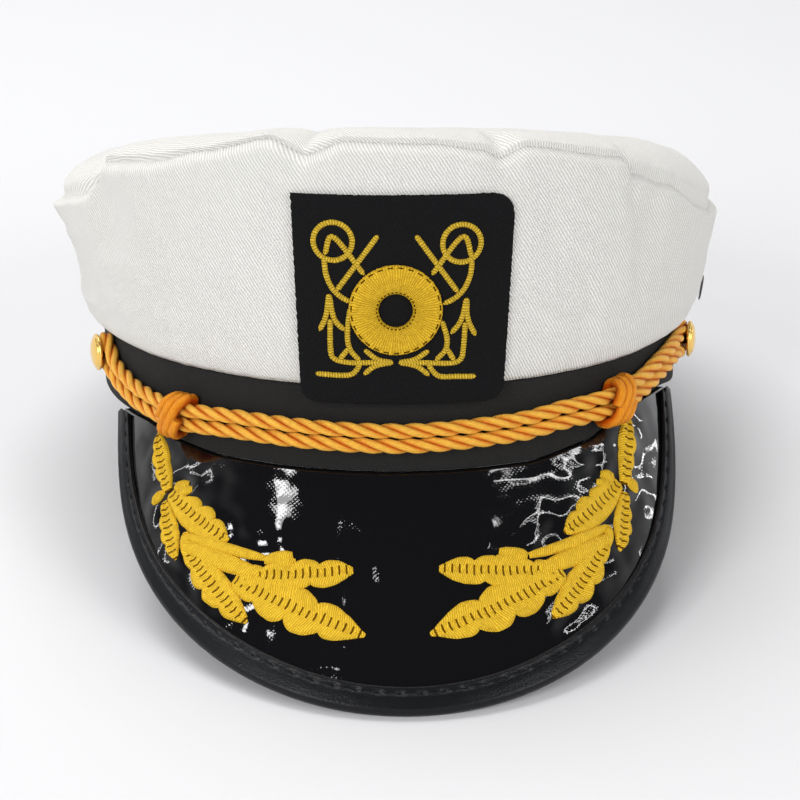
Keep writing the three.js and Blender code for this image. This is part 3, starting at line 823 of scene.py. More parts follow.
@dataclass
class Crown:
    """The white crown: its wall and its top panel.

    Folds are the main dents that the solids have too, tucks are the small puckers at the seam, and the rows
    give the wall's height round the hat and how much of the flare it has reached on its way up.
    """

    hat: HatFrame
    front_height: float = 69.2
    flare_side: float = 12.2
    flare_front: float = 5.5
    flare_back: float = 8.0
    wall: float = 1.8
    front_puff: float = 6.9
    back_puff: float = 7.2
    slope_power: float = 1.35
    roll_power: float = 14.0
    pinch: float = 2.1
    seam_reach: float = 1.5
    edge_roll: float = 0.9
    seam_rows: tuple[Row, ...] = (
        (-180, 0.42), (-130, 0.45), (-100, 0.49), (-84, 0.54), (-70, 0.62), (-64, 0.66), (-59.5, 0.807),
        (-46, 0.855), (-35, 0.926), (-22.5, 1), (-16.8, 0.937), (-10, 1), (5, 0.99), (13, 0.96),
        (16.3, 0.921), (20.5, 0.966), (39.5, 0.882), (42.5, 0.8), (52, 0.723), (65, 0.574), (72, 0.52),
        (100, 0.49), (130, 0.45), (180, 0.42),
    )
    wall_rows: tuple[Row, ...] = (
        (0, 0.08), (0.035, 0.3), (0.1, 0.45), (0.25, 0.62), (0.5, 0.8), (0.78, 0.94), (0.93, 1.0), (1, 0.95),
    )
    folds: tuple[Fold, ...] = (
        Fold(-16.8, 3, 0.93, 1.03, -0.13), Fold(16.3, 3, 0.93, 1.03, -0.13),
        Fold(-57, 6, 0.55, 1, -0.18), Fold(47, 4, 0.6, 1, -0.15),
        Fold(-88, 10, 0.86, 1, 0.22), Fold(-80, 13, 0.3, 0.62, -0.16),
        Fold(72, 7, 0.45, 0.85, -0.12), Fold(118, 12, 0.2, 0.9, -0.16),
        Fold(-124, 13, 0.2, 0.9, -0.16), Fold(168, 12, 0.1, 0.8, -0.13),
    )
    tucks: tuple[Fold, ...] = (
        Fold(-61, 1.3, 0.86, 1.05, -0.12), Fold(42, 1.2, 0.7, 1.05, -0.09),
        Fold(45, 2.2, 0.3, 0.75, -0.07), Fold(55.5, 1.5, 0.86, 1.0, -0.06),
        Fold(-22, 2.6, 0.5, 0.95, -0.05), Fold(25, 3.0, 0.45, 0.95, -0.05),
        Fold(33, 2.5, 0.05, 0.45, -0.06), Fold(60, 3.0, 0.2, 0.6, 0.07),
        Fold(-48, 4.0, 0.1, 0.5, -0.05),
    )
    panel_tucks: tuple[Fold, ...] = (
        Fold(-16.8, 1.5, 0.84, 1.0, -0.13), Fold(16.3, 1.5, 0.84, 1.0, -0.13),
        Fold(-61.5, 1.4, 0.88, 1.0, -0.12), Fold(41.5, 1.4, 0.86, 1.0, -0.12),
        Fold(53.5, 1.4, 0.9, 1.0, -0.08), Fold(-35, 2.5, 0.86, 1.0, -0.05),
    )
    waves: tuple[Waves, ...] = (Waves(0.7, 4.68, 1.6, 0), Waves(0.28, 14.04, 3.5, 4))
    seam_waves: Waves = Waves(0.35, 31.2, 0, 9)
    foot_waves: Waves = Waves(0.3, 26.0, 0, 14)
    seam_waves_reach: float = 0.1
    foot_waves_reach: float = 0.09
    waves_at_foot: float = 0.12
    waves_rise: float = 0.8
    dip: float = 0.9
    dip_size: Row = (34.0, 26.0)
    rumple: float = 0.5
    rumple_size: float = 9.0
    rumple_reach: float = 0.2
    mean_radius: float = 100.0
    panel_flare: float = 8.0
    wall_faces: tuple[int, int] = (440, 56)
    wall_crowding: float = 1.25
    panel_faces: tuple[int, int] = (360, 52)
    panel_crowding: float = 2.4

    @property
    def base(self) -> float:
        """The height where the wall leaves the band."""
        return self.hat.band_height + self.hat.seam_gap

    def height(self, degrees: float) -> float:
        """The wall's height at an angle."""
        return self.front_height * rows_value(self.seam_rows, half_turn(degrees))

    def flare(self, degrees: float) -> float:
        """How far the wall leans out.

        Args:
            degrees: the angle round the hat.

        Returns:
            The flare in millimetres.
        """
        cosine = math.cos(math.radians(degrees))
        front, back = max(0.0, cosine) ** 2, max(0.0, -cosine) ** 2
        side = self.flare_side
        return side + (self.flare_front - side) * front + (self.flare_back - side) * back

    def fold_depth(self, degrees: float, share: float) -> float:
        """The main folds and dents, in millimetres outward."""
        return sum(self.flare_side * fold.at(degrees, share) for fold in self.folds)

    def creases(self, degrees: float, share: float) -> float:
        """The small creases of the cloth: soft waves, and puckers where it is sewn.

        Args:
            degrees: the angle round the hat.
            share: the share of the wall's height.

        Returns:
            How far they stand out, in millimetres.
        """
        around = math.radians(degrees)
        strength = math.sin(math.pi * min(1.0, self.waves_at_foot + self.waves_rise * share))
        waves = strength * sum(wave.at(around, share) for wave in self.waves)
        seam = bell(1 - share, self.seam_waves_reach) * self.seam_waves.at(around, share)
        foot = bell(share, self.foot_waves_reach) * self.foot_waves.at(around, share)
        tucks = sum(self.flare_side * tuck.at(degrees, share) for tuck in self.tucks)
        return waves + seam + foot + tucks

    def wall_point(self, degrees: float, share: float) -> Vector:
        """A point on the wall's face.

        Args:
            degrees: the angle round the hat.
            share: the share of the wall's height.

        Returns:
            The point.
        """
        height = self.height(degrees)
        out = self.flare(degrees) * rows_value(self.wall_rows, share) + self.fold_depth(degrees, share)
        out -= self.pinch * bell((1 - share) * height, self.seam_reach)
        out += self.creases(degrees, share)
        return self.hat.on_band(degrees, out, self.base + share * height)

    def panel_height(self, y: float) -> float:
        """The height of the top panel without its rolled edge.

        Args:
            y: how far back it is read.

        Returns:
            The height above the band's lower edge.
        """
        reach = self.hat.half_length + self.flare_front
        share = min(1.0, max(0.0, (1 - y / reach) / 2))
        front = self.base + self.height(0) + self.front_puff
        back = self.base + self.height(180) + self.back_puff
        return back + (front - back) * share**self.slope_power

    def panel_point(self, degrees: float, share: float) -> Vector:
        """A point of the top panel.

        Args:
            degrees: the angle round the hat.
            share: the share of the way from its middle to its rim.

        Returns:
            The point.
        """
        rim = self.wall_point(degrees, 1.0)
        reach = math.hypot(rim.x, rim.y)
        roll = (self.pinch + self.edge_roll) * (bell(reach * (1 - share), self.seam_reach) - 1) * share**12
        point = Vector((rim.x, rim.y, 0)) * (share - roll / reach)
        drop = self.panel_height(rim.y) - rim.z
        point.z = self.panel_height(point.y) - drop * share**self.roll_power
        wide, deep = self.dip_size
        point.z += self.dip * ripple(point.x / wide, point.y / deep, 21) * (1 - share**10)
        rumple = self.rumple * ripple(point.x / self.rumple_size, point.y / self.rumple_size, 27)
        point.z += bell(1 - share, self.rumple_reach) * rumple * (1 - share**30)
        point.z += sum(self.flare_side * tuck.at(degrees, share) for tuck in self.panel_tucks)
        return point

    def build_wall(self, cloth: bpy.types.Material) -> None:
        """Makes the wall, with its rings closer together towards the seam.

        Args:
            cloth: its finish.
        """

        def share(v: float) -> float:
            """The share of the wall's height."""
            return 1 - (1 - v) ** self.wall_crowding

        girth = 2 * math.pi * self.mean_radius
        piece = Piece("crown_side_cloth", self.hat)
        piece.grid(
            *self.wall_faces,
            lambda u, v: self.wall_point(360 * u - 180, share(v)),
            lambda u, v: (girth * (u - 0.5), self.height(360 * u - 180) * share(v)),
        )
        wall = piece.finish(cloth)
        thicken(wall, self.wall)
        hand_over(wall, Slot.CROWN, "crown_side")

    def build_panel(self, cloth: bpy.types.Material) -> None:
        """Makes the top panel, with its rings closer together towards its rim.

        Args:
            cloth: its finish.
        """

        def share(v: float) -> float:
            """The share of the way out to the rim."""
            return 1 - (1 - v) ** self.panel_crowding

        def flat(u: float, v: float) -> Row:
            """The panel's measure, seen from above."""
            point = self.hat.on_band(360 * u - 180, self.panel_flare, 0) * share(v)
            return point.x, point.y

        piece = Piece("crown_top_cloth", self.hat)
        piece.grid(*self.panel_faces, lambda u, v: self.panel_point(360 * u - 180, share(v)), flat)
        panel = piece.finish(cloth)
        thicken(panel, self.wall)
        hand_over(panel, Slot.CROWN, "crown_top")

    def build(self) -> None:
        """Makes both pieces from one cloth."""
        cloth = WHITE_TWILL.build()
        self.build_wall(cloth)
        self.build_panel(cloth)


@dataclass
class Headband:
    """The black band round the head opening."""

    hat: HatFrame
    wall: float = 2.4
    edge: float = 0.5
    girth: float = 600.0
    columns: int = 300
    face_steps: int = 12
    inside_steps: int = 4
    inside_measure: float = 40.0
    swell: float = 0.25
    swell_close: float = 8.0
    swell_height: float = 12.0

    def section(self) -> list[Row]:
        """The band's section.

        Returns:
            Its (out, height) rows, up its face, over its top and down its inside.
        """
        top, wall, edge = self.hat.band_height, self.wall, self.edge
        soft, tall = 0.3 * edge, top - 2 * edge
        rows = [(0.0, edge + tall * i / self.face_steps) for i in range(self.face_steps + 1)]
        rows += [(-soft, top - soft), (-edge, top), (-wall + edge, top), (-wall, top - edge)]
        rows += [(-wall, top - edge - tall * (i + 1) / self.inside_steps) for i in range(self.inside_steps)]
        rows += [(-wall + edge, 0.0), (-edge, 0.0), (-soft, soft), (0.0, edge)]
        return rows

    def build(self) -> None:
        """Makes the band."""
        rows = self.section()
        last = len(rows) - 1

        def place(u: float, v: float) -> Vector:
            """The band's surface, with its raised lower edge and a slight swell."""
            degrees = 360 * u - 180
            out, height = rows[round(v * last)]
            height += self.hat.edge_rise(degrees) * max(0.0, 1 - height / self.hat.band_height)
            around = self.swell_close * math.sin(math.radians(degrees))
            out += self.swell * ripple(around, height / self.swell_height, 33)
            return self.hat.on_band(degrees, out, height)

        def flat(u: float, v: float) -> Row:
            """The measure along and up the band, with its inside further up."""
            return self.girth * (u - 0.5), rows[round(v * last)][1] + (self.inside_measure if v > 0.5 else 0)

        piece = Piece("headband_cloth", self.hat)
        piece.grid(self.columns, last, place, flat, settled=True)
        band = piece.finish(BLACK_TWILL.build())
        hand_over(band, Slot.BAND, "headband")


@dataclass(frozen=True)
class Leaf:
    """One embroidered leaf or strip on the peak.

    Root and tip are in degrees and millimetres down the slope. Lobes are counted on the left and the right
    hand of the way from root to tip, and a strip has none.
    """

    root_angle: float
    root: float
    tip_angle: float
    tip: float
    width: float
    left: int = 0
    right: int = 0
    round_tip: bool = False

    @property
    def veined(self) -> bool:
        """Whether it is a leaf with a vein, and not a plain strip."""
        return bool(self.left or self.right)


@dataclass
class Visor:
    """The glossy peak, with its folded binding and the leaf sprays on it."""

    hat: HatFrame
    length: float = 68.4
    slope: float = math.radians(50)
    end: float = 65.2
    roundness: float = 1.97
    taper: float = 1.38
    wall: float = 2.0
    stub: float = 1.4
    tuck: float = 1.9
    binding_width: float = 6.0
    binding_wall: float = 1.1
    binding_rim: float = 1.5
    binding_rows: tuple[Row, ...] = ((18, 1.0), (42, 0.68), (58, 0.6))
    stitch_line: float = 4.0
    stitch_gap: float = 6.0
    left_leaves: tuple[Leaf, ...] = (
        Leaf(-41.2, 14.6, -50.2, 0.4, 6.4, 4, 2),
        Leaf(-41.0, 17.4, -34.2, 33.1, 6.4, 1, 4),
        Leaf(-40.6, 14.6, -27.1, 24.2, 9.8, 4, 1),
        Leaf(-33.2, 28.9, -20.7, 47.1, 9.4, 1, 4),
        Leaf(-24.2, 35.0, -5.4, 47.8, 12.8, 3, 4),
        Leaf(-23.6, 34.0, -7.5, 29.3, 9.4, 4, 3, round_tip=True),
        Leaf(-34.8, 24.4, -32.8, 31.5, 3.0),
        Leaf(-34.8, 25.4, -20.6, 27.6, 3.6),
        Leaf(-34.3, 28.0, -20.4, 32.6, 5.4),
        Leaf(-40.6, 12.9, -38.1, 10.3, 3.6),
        Leaf(-39.4, 13.9, -36.9, 11.6, 3.2),
        Leaf(-42.1, 15, -43.2, 19.5, 3.2),
        Leaf(-20.6, 28.4, -16.5, 25.9, 3.8),
        Leaf(-19.4, 29.6, -15.9, 27.6, 3.2),
    )
    right_leaves: tuple[Leaf, ...] = (
        Leaf(39.2, 15.2, 47.3, 0.4, 6.4, 2, 4),
        Leaf(38.6, 17.0, 32.8, 32.0, 6.4, 4, 1),
        Leaf(38.6, 13.8, 24.8, 22.5, 9.8, 1, 4),
        Leaf(31.0, 28.4, 18.8, 46.4, 9.4, 4, 1),
        Leaf(22.4, 33.8, 2.7, 47.6, 12.8, 4, 3),
        Leaf(21.8, 33.0, 4.6, 28.7, 9.4, 3, 4, round_tip=True),
        Leaf(33.0, 24.0, 31.0, 30.0, 3.0),
        Leaf(32.6, 24.3, 18.0, 27.4, 3.6),
        Leaf(32.0, 27.4, 18.6, 32.0, 5.4),
        Leaf(38, 12.9, 35.7, 9.6, 3.7),
        Leaf(36.8, 14.2, 34.2, 11.4, 3.2),
        Leaf(40.1, 14.7, 41.5, 18.4, 3.2),
        Leaf(17.8, 27.4, 13.7, 25, 4.0),
        Leaf(16.6, 28.8, 13.0, 26.8, 3.2),
    )
    leaf_height: float = 1.3
    keep_rows: tuple[Row, ...] = ((44, 0), (62, 1))
    broad_wave: float = 0.28
    broad_size: Row = (26.0, 19.0)
    tight_wave: float = 0.75
    tight_size: Row = (6.0, 7.0)
    tight_reach: float = 9.0
    calm_edge: float = 9.0
    calm_seam: float = 4.0
    groove_depth: float = 0.4
    groove_half: float = 0.45
    stitch_height: float = 0.36
    stitch_half: float = 0.3
    hole_depth: float = 0.5
    hole_half: float = 0.6
    puff: float = 0.16
    rumple: float = 0.07
    deep_lobe: float = 0.42
    shallow_lobe: float = 0.22
    blunt_tip: float = 0.42
    sharp_tip: float = 0.75
    ragged: float = 0.05
    vein_depth: float = 0.42
    vein_half: float = 0.24
    peak_faces: tuple[int, int] = (300, 111)
    binding_columns: int = 620
    leaf_step: float = 0.4
    leaf_rows: int = 20

    def reach(self, degrees: float) -> float:
        """How far the peak runs down the slope at an angle."""
        share = min(1.0, abs(degrees) / self.end)
        return self.length * (1 - share**self.roundness) ** self.taper

    def end_angle(self) -> float:
        """The angle where the peak is cut off at its stub."""
        return self.end * (1 - (self.stub / self.length) ** (1 / self.taper)) ** (1 / self.roundness)

    def point(self, degrees: float, distance: float, lift: float) -> Vector:
        """A point over the peak's middle surface.

        Args:
            degrees: the angle round the hat.
            distance: the way down the slope from the band.
            lift: the height square to the surface.

        Returns:
            The point.
        """
        point, out, _ = self.hat.band_at(degrees)
        cosine, sine = math.cos(self.slope), math.sin(self.slope)
        keep = rows_value(self.keep_rows, abs(degrees))
        run = min(1.0, distance / max(self.reach(degrees), self.stub))
        point += out * (distance * cosine + lift * sine)
        point.z = self.hat.edge_rise(degrees) * (1 - run * (1 - keep)) - distance * sine + lift * cosine
        point.z -= self.hat.seam_gap + 0.5 * self.wall * cosine
        return point

    @cached_property
    def spines(self) -> list[tuple[Vector, Vector]]:
        """The leaves' middle lines on the flat measure of the peak.

        Returns:
            The start and the stop of each.
        """
        return [
            (self.flat(leaf.root_angle, leaf.root), self.flat(leaf.tip_angle, leaf.tip))
            for leaf in self.left_leaves + self.right_leaves
        ]

    def flat(self, degrees: float, distance: float) -> Vector:
        """The flat measure of the peak: along the band and down the slope."""
        _, _, stretch = self.hat.band_at(0.5 * degrees)
        return Vector((math.radians(degrees) * (stretch + 0.5 * distance * math.cos(self.slope)), distance))

    def pucker(self, degrees: float, distance: float) -> float:
        """The small waves of the surface, strongest beside the stitching.

        Args:
            degrees: the angle round the hat.
            distance: the way down the slope from the band.

        Returns:
            Their height in millimetres.
        """
        here = self.flat(degrees, distance)
        near = 0.0
        for start, stop in self.spines:
            line = stop - start
            share = min(1.0, max(0.0, (here - start).dot(line) / line.length_squared))
            gap = (here - start - line * share).length
            near = max(near, bell(gap, self.tight_reach))
        broad = self.broad_wave * ripple(here.x / self.broad_size[0], here.y / self.broad_size[1], 41)
        tight = self.tight_wave * near * ripple(here.x / self.tight_size[0], here.y / self.tight_size[1], 46)
        calm = min(1.0, max(0.0, self.reach(degrees) - distance) / self.calm_edge)
        return (broad + tight) * calm * min(1.0, distance / self.calm_seam)

    def beside_edge(self, degrees: float, inward: float, lift: float) -> Vector:
        """A point at a distance inward from the peak's edge.

        Args:
            degrees: where on the edge.
            inward: the distance, measured in the surface.
            lift: the height square to it.

        Returns:
            The point.
        """
        step = 0.05
        _, _, stretch = self.hat.band_at(degrees)
        slope = (self.reach(degrees + step) - self.reach(degrees - step)) / math.radians(2 * step)
        size = math.hypot(stretch, slope)
        turned = degrees + math.degrees(inward * slope / size / stretch)
        return self.point(turned, max(self.reach(degrees) - inward * stretch / size, 0.6), lift)

    def build_peak(self) -> None:
        """Makes the glossy peak."""
        end = self.end_angle()
        columns, rows = self.peak_faces

        def angle(u: float) -> float:
            """The angle round the hat, with columns closer together at both ends."""
            return end * math.sin(math.pi * (u - 0.5))

        def down(u: float, v: float) -> float:
            """The way down the slope, after one row that is tucked under the band."""
            return self.reach(angle(u)) * max(0.0, (v * rows - 1) / (rows - 1))

        def place(u: float, v: float) -> Vector:
            """The peak's upper surface."""
            degrees, distance = angle(u), down(u, v)
            point = self.point(degrees, distance, 0.5 * self.wall + self.pucker(degrees, distance))
            return point if v > 0.5 / rows else point - self.hat.band_at(degrees)[1] * self.tuck

        piece = Piece("visor_patent", self.hat)
        piece.grid(columns, rows, place, lambda u, v: tuple(self.flat(angle(u), down(u, v))))
        peak = piece.finish(PATENT.build())
        thicken(peak, self.wall)
        hand_over(peak, Slot.PATENT, "visor")

    def binding_section(self) -> list[Row]:
        """The folded strip's section.

        Returns:
            Its (inward, lift) rows, across its upper face, round the fold and back along its inside.
        """
        gap, width = self.hat.seam_gap, self.binding_width
        half = 0.5 * self.wall + gap
        full = half + self.binding_wall
        steps, bevel, shoulder = 14, 0.15, width - 0.7
        rows = [(width, half + bevel), (width - 0.25, full - bevel)]
        rows += [(shoulder - shoulder * i / steps, full) for i in range(steps)]
        rows += [
            (-gap - self.binding_rim * math.sin(turn), full * math.cos(turn))
            for turn in (math.pi * i / steps for i in range(steps + 1))
        ]
        rows += [(0.4 * width, -full), (width, -full), (width, -half)]
        rows += [(-gap, -half), (-gap, half), (width, half), (width, half + bevel)]
        return rows

    def build_binding(self) -> None:
        """Makes the folded strip with its stitch line."""
        rows = self.binding_section()
        last = len(rows) - 1
        end = self.end_angle()
        columns = self.binding_columns
        angles = [end * math.sin(math.pi * (i / columns - 0.5)) for i in range(columns + 1)]
        run = [0.0]
        for before, after in zip(angles, angles[1:]):
            run.append(run[-1] + (self.beside_edge(after, 4, 2) - self.beside_edge(before, 4, 2)).length)

        def place(u: float, v: float) -> Vector:
            """The strip's surface: a stitch line in a groove, its holes, and soft leathercloth beside it."""
            i = round(u * columns)
            inward, lift = rows[round(v * last)]
            shown = inward * (rows_value(self.binding_rows, abs(angles[i])) if inward > 0 else 1.0)
            if lift > 0 and inward > 0:
                beat = (run[i] / self.stitch_gap) % 1
                groove = bell(inward - self.stitch_line, self.groove_half)
                stitch = bell(inward - self.stitch_line, self.stitch_half) if 0.18 < beat < 0.82 else 0.0
                hole = groove * bell(min(beat, 1 - beat) * self.stitch_gap, self.hole_half)
                lift += self.stitch_height * stitch - self.groove_depth * groove - self.hole_depth * hole
                lift += self.puff * math.sin(math.pi * min(1, max(0, inward / self.stitch_line)))
                lift += self.rumple * ripple(run[i] / 7, inward / 3, 52)
            return self.beside_edge(angles[i], shown, lift)

        piece = Piece("visor_binding_strip", self.hat)
        piece.grid(
            columns, last, place, lambda u, v: (run[round(u * columns)], 0.6 * round(v * last)), settled=True
        )
        strip = piece.finish(LEATHERCLOTH.build(), fill=True)
        hand_over(strip, Slot.BINDING, "visor_binding")

    def leaf_half(self, leaf: Leaf, share: float, side: float, seed: float) -> float:
        """Half the width of a leaf, with its rounded lobes.

        Args:
            leaf: the leaf.
            share: the share of the way from root to tip.
            side: 1 on the right hand, -1 on the left.
            seed: picks its small irregularities.

        Returns:
            The half width in millimetres.
        """
        lobes = leaf.right if side > 0 else leaf.left
        if not leaf.veined:
            return 0.5 * leaf.width * max(0.12, math.sin(math.pi * (0.1 + 0.82 * share))) ** 0.55
        blunt = self.blunt_tip if leaf.round_tip else self.sharp_tip
        swell = max(0.02, math.sin(math.pi * (0.1 + 0.87 * share**1.15))) ** blunt
        swell *= math.sqrt(min(1.0, (1.02 - share) / 0.06)) * math.sqrt(min(1.0, (share + 0.02) / 0.05))
        bumps = abs(math.sin(math.pi * lobes * (share + 0.04))) ** 0.5 if lobes > 1 else 0.75
        deep = self.deep_lobe if lobes > 2 else self.shallow_lobe
        rough = 1 + self.ragged * ripple(share * 14, side * 3, seed)
        return 0.5 * leaf.width * swell * (1 - deep + deep * bumps) * rough

    def lay_leaf(self, piece: Piece, leaf: Leaf, seed: float) -> None:
        """Stitches one leaf: two raised halves beside a vein.

        Args:
            piece: the spray that it joins.
            leaf: the leaf.
            seed: picks its small irregularities.
        """
        length = (self.flat(leaf.tip_angle, leaf.tip) - self.flat(leaf.root_angle, leaf.root)).length
        turn, fall = leaf.tip_angle - leaf.root_angle, leaf.tip - leaf.root

        def place(u: float, v: float) -> Vector:
            """The leaf's stitched surface, which follows the waves of the peak."""
            side = 2 * v - 1
            degrees, distance = leaf.root_angle + u * turn, leaf.root + u * fall
            _, _, stretch = self.hat.band_at(degrees)
            scale = stretch + distance * math.cos(self.slope)
            run = Vector((math.radians(turn) * scale, fall)).normalized()
            half = self.leaf_half(leaf, u, math.copysign(1, side), seed)
            degrees -= math.degrees(run.y * side * half / scale)
            distance += run.x * side * half
            if not leaf.veined:
                body = max(0.0, 1 - abs(side) ** 2.4) ** 0.5
            elif abs(side) > 0.5:
                body = (1 - abs(2 * abs(side) - 1) ** 2.6) ** 0.5
            else:
                body = 1 - self.vein_depth * bell(side, self.vein_half)
            ends = min(1.0, 5 * min(u, 1 - u) * length / 10 + 0.35)
            lift = 0.5 * self.wall + 0.05 + self.pucker(degrees, distance)
            rise = (0.8 if leaf.veined else 1.05) * min(1.0, half / 1.6)
            return self.point(degrees, distance, lift + self.leaf_height * body * ends * rise)

        def measure(u: float, v: float) -> Row:
            """The measure along and across the leaf; a strip's lies clear of the vein's slots."""
            across = (2 * v - 1) * self.leaf_half(leaf, u, 1, seed)
            return u * length + 40 * seed, across if leaf.veined else across + 9

        piece.grid(max(10, round(length / self.leaf_step)), self.leaf_rows, place, measure)

    def build_spray(self, side: str, leaves: Sequence[Leaf], thread: bpy.types.Material) -> None:
        """Makes one spray of leaves.

        Args:
            side: left or right.
            leaves: its leaves and strips.
            thread: its finish.
        """
        piece = Piece(f"leaf_spray_{side}_stitches", self.hat)
        for number, leaf in enumerate(leaves):
            self.lay_leaf(piece, leaf, float(number))
        made = piece.finish(thread, weld=STITCH_WELD)
        hand_over(made, Slot.LEAF_THREAD, f"leaf_spray_{side}")

    def build(self) -> None:
        """Makes the peak, its binding and both sprays."""
        self.build_peak()
        self.build_binding()
        thread = LEAF_THREAD.build()
        self.build_spray("left", self.left_leaves, thread)
        self.build_spray("right", self.right_leaves, thread)


@dataclass
class ChinCord:
    """The twisted cord's closed loop, its wraps and the buttons that hold it.

    The rows give the height of the pair of runs along the band, as a share of the band's height, and the rim
    rows give a button's edge as shares of its radius and its head.
    """

    hat: HatFrame
    radius: float = 2.05
    twist: float = 19.5
    strand_radius: float = 0.53
    strand_offset: float = 0.54
    knots: tuple[float, float] = (-42.7, 41.3)
    knot_wall: float = 1.1
    knot_clearance: float = 0.4
    knot_spread: float = 9.0
    buttons: tuple[Row, Row] = ((-70.5, 0.755), (74.0, 0.788))
    button_radius: float = 5.6
    shank: float = 1.5
    head: float = 2.4
    rim_rows: tuple[Row, ...] = (
        (0.93, 0), (0.985, 0.1), (1, 0.25), (0.985, 0.38), (0.93, 0.46), (0.87, 0.44),
    )
    turn_room: float = 2.2
    # crevice_shade_fall: how strong the painted shade deep between the cord's strands is
    crevice_shade_fall: float = 2.7
    # wrap_shade_fall: how strong the painted shade on the wraps near the cord is
    wrap_shade_fall: float = 3.0
    rows: tuple[Row, ...] = (
        (-70.5, 0.755), (-63, 0.555), (-55, 0.449), (-45, 0.412), (-30, 0.449), (0, 0.42), (21, 0.465),
        (30, 0.527), (42, 0.551), (50, 0.62), (58, 0.718), (66, 0.78), (74, 0.788),
    )
    route_steps: int = 44
    loop_turns: tuple[int, ...] = (105, 75, 45, 15, -15, -45, -75, -105)
    cord_step: float = 0.62
    strands: int = 3
    tube_sides: int = 12
    wraps: int = 3
    wrap_steps: int = 24
    wrap_radius: float = 1.45
    wrap_width: float = 7.4
    wrap_slant: float = 0.5
    wrap_air: float = 0.3
    wrap_swell: float = 0.6
    wrap_step: float = 0.6

    @property
    def standoff(self) -> float:
        """How far the cord's middle stands off the band."""
        return self.radius + self.hat.seam_gap

    @property
    def spacing(self) -> float:
        """The distance between the two runs."""
        return 2 * self.radius + self.hat.seam_gap

    def height(self, degrees: float) -> float:
        """The height of the pair's middle at an angle."""
        return self.hat.band_height * rows_value(self.rows, degrees)

    def knot_lift(self, degrees: float) -> float:
        """How far the cord lifts over the back of each wrap."""
        near = sum(bell(degrees - knot, self.knot_spread) for knot in self.knots)
        return (self.knot_clearance + self.knot_wall) * near

    def route(self) -> list[Vector]:
        """The closed route of the cord: two runs and a turn round each button's shank.

        Returns:
            Its points, of which the first isn't repeated.
        """
        loop = self.radius + self.shank + 1.2 * self.hat.seam_gap
        ends = []
        for angle, _ in self.buttons:
            room = self.hat.degrees_for(self.turn_room * loop, angle)
            ends.append(angle - math.copysign(room, angle))
        route: list[Vector] = []
        for level in (1, -1):
            start, stop = (ends[1], ends[0]) if level > 0 else (ends[0], ends[1])
            for i in range(self.route_steps + 1):
                degrees = start + (stop - start) * i / self.route_steps
                offset = self.standoff + self.knot_lift(degrees)
                height = self.height(degrees) + 0.5 * level * self.spacing
                route.append(self.hat.on_band(degrees, offset, height))
            angle, share = self.buttons[0] if level > 0 else self.buttons[1]
            for turn in self.loop_turns:
                across = self.hat.degrees_for(loop * math.cos(math.radians(turn)), angle)
                rise = loop * math.sin(math.radians(turn))
                height = self.hat.band_height * share + level * rise
                route.append(self.hat.on_band(angle - level * across, self.standoff, height))
        return route

    def across(self, here: Vector, tangent: Vector) -> tuple[Vector, Vector]:
        """The two directions square to a strand.

        Args:
            here: the place on the hat.
            tangent: the way the strand runs there.

        Returns:
            The direction out of the hat and the one up along it.
        """
        hat = self.hat
        radial = Vector((here.x / hat.half_width**2, here.y / hat.half_length**2, 0)).normalized()
        up = tangent.cross(radial)
        up = up.normalized() if up.length > 1e-4 else Vector((0, 0, 1))
        return up.cross(tangent).normalized(), up

    def tube(
        self,
        piece: Piece,
        line: Sequence[Vector],
        radius: float,
        closed: bool,
        deep: Callable[[int, Vector], float],
    ) -> None:
        """Sweeps a round strand along a line, with its threads' measure and its painted crevice shade laid
        round it.

        Args:
            piece: the piece that it joins.
            line: evenly spaced points.
            radius: the strand's radius.
            closed: whether the line returns to its start.
            deep: how deep between the strands a place lies, from the number of the line's point there, which
                sets the painted shade.
        """
        count = len(line)
        steps = count if closed else count - 1
        length = sum((b - a).length for a, b in zip(line, line[1:]))
        girth = 2 * math.pi * radius
        frames = []
        for i in range(steps + 1):
            here = line[i % count]
            before = line[(i - 1) % count] if closed or i else here
            after = line[(i + 1) % count] if closed or i < count - 1 else here
            frames.append(self.across(here, (after - before).normalized()))

        def place(u: float, v: float) -> Vector:
            """The strand's round surface."""
            i = round(u * steps)
            out, up = frames[i]
            turn = 2 * math.pi * v
            return line[i % count] + (out * math.cos(turn) + up * math.sin(turn)) * radius

        def crevice_shade(u: float, v: float) -> float:
            """How deep in a crevice the surface lies, from 0 to 1: the share of painted shade there."""
            return min(1.0, max(0.0, deep(round(u * steps) % count, place(u, v))))

        piece.grid(steps, self.tube_sides, place, lambda u, v: (length * u, girth * v), depth=crevice_shade)

    def build_cord(self) -> None:
        """Makes the closed loop of twisted strands."""
        line = spline(self.route(), True, self.cord_step)
        count = len(line)
        length = sum((line[(i + 1) % count] - line[i]).length for i in range(count))
        turns = round(length / self.twist)
        LOG.info("chin cord: %.1f mm round, %d turns", length, turns)
        piece = Piece("chin_cord_strands", self.hat)
        offset = self.strand_offset * self.radius
        for strand in range(self.strands):
            path = []
            for i, here in enumerate(line):
                out, up = self.across(here, (line[(i + 1) % count] - line[i - 1]).normalized())
                turn = 2 * math.pi * (turns * i / count + strand / self.strands)
                path.append(here + (out * math.cos(turn) + up * math.sin(turn)) * offset)
            # painted shade: strand surface nearer the cord's middle is darker
            self.tube(
                piece, path, self.strand_radius * self.radius, True,
                lambda i, spot: self.crevice_shade_fall * (1 - (spot - line[i]).length / self.radius),
            )
        made = piece.finish(CORD_THREAD.build(), weld=STITCH_WELD)
        hand_over(made, Slot.CORD, "chin_cord")

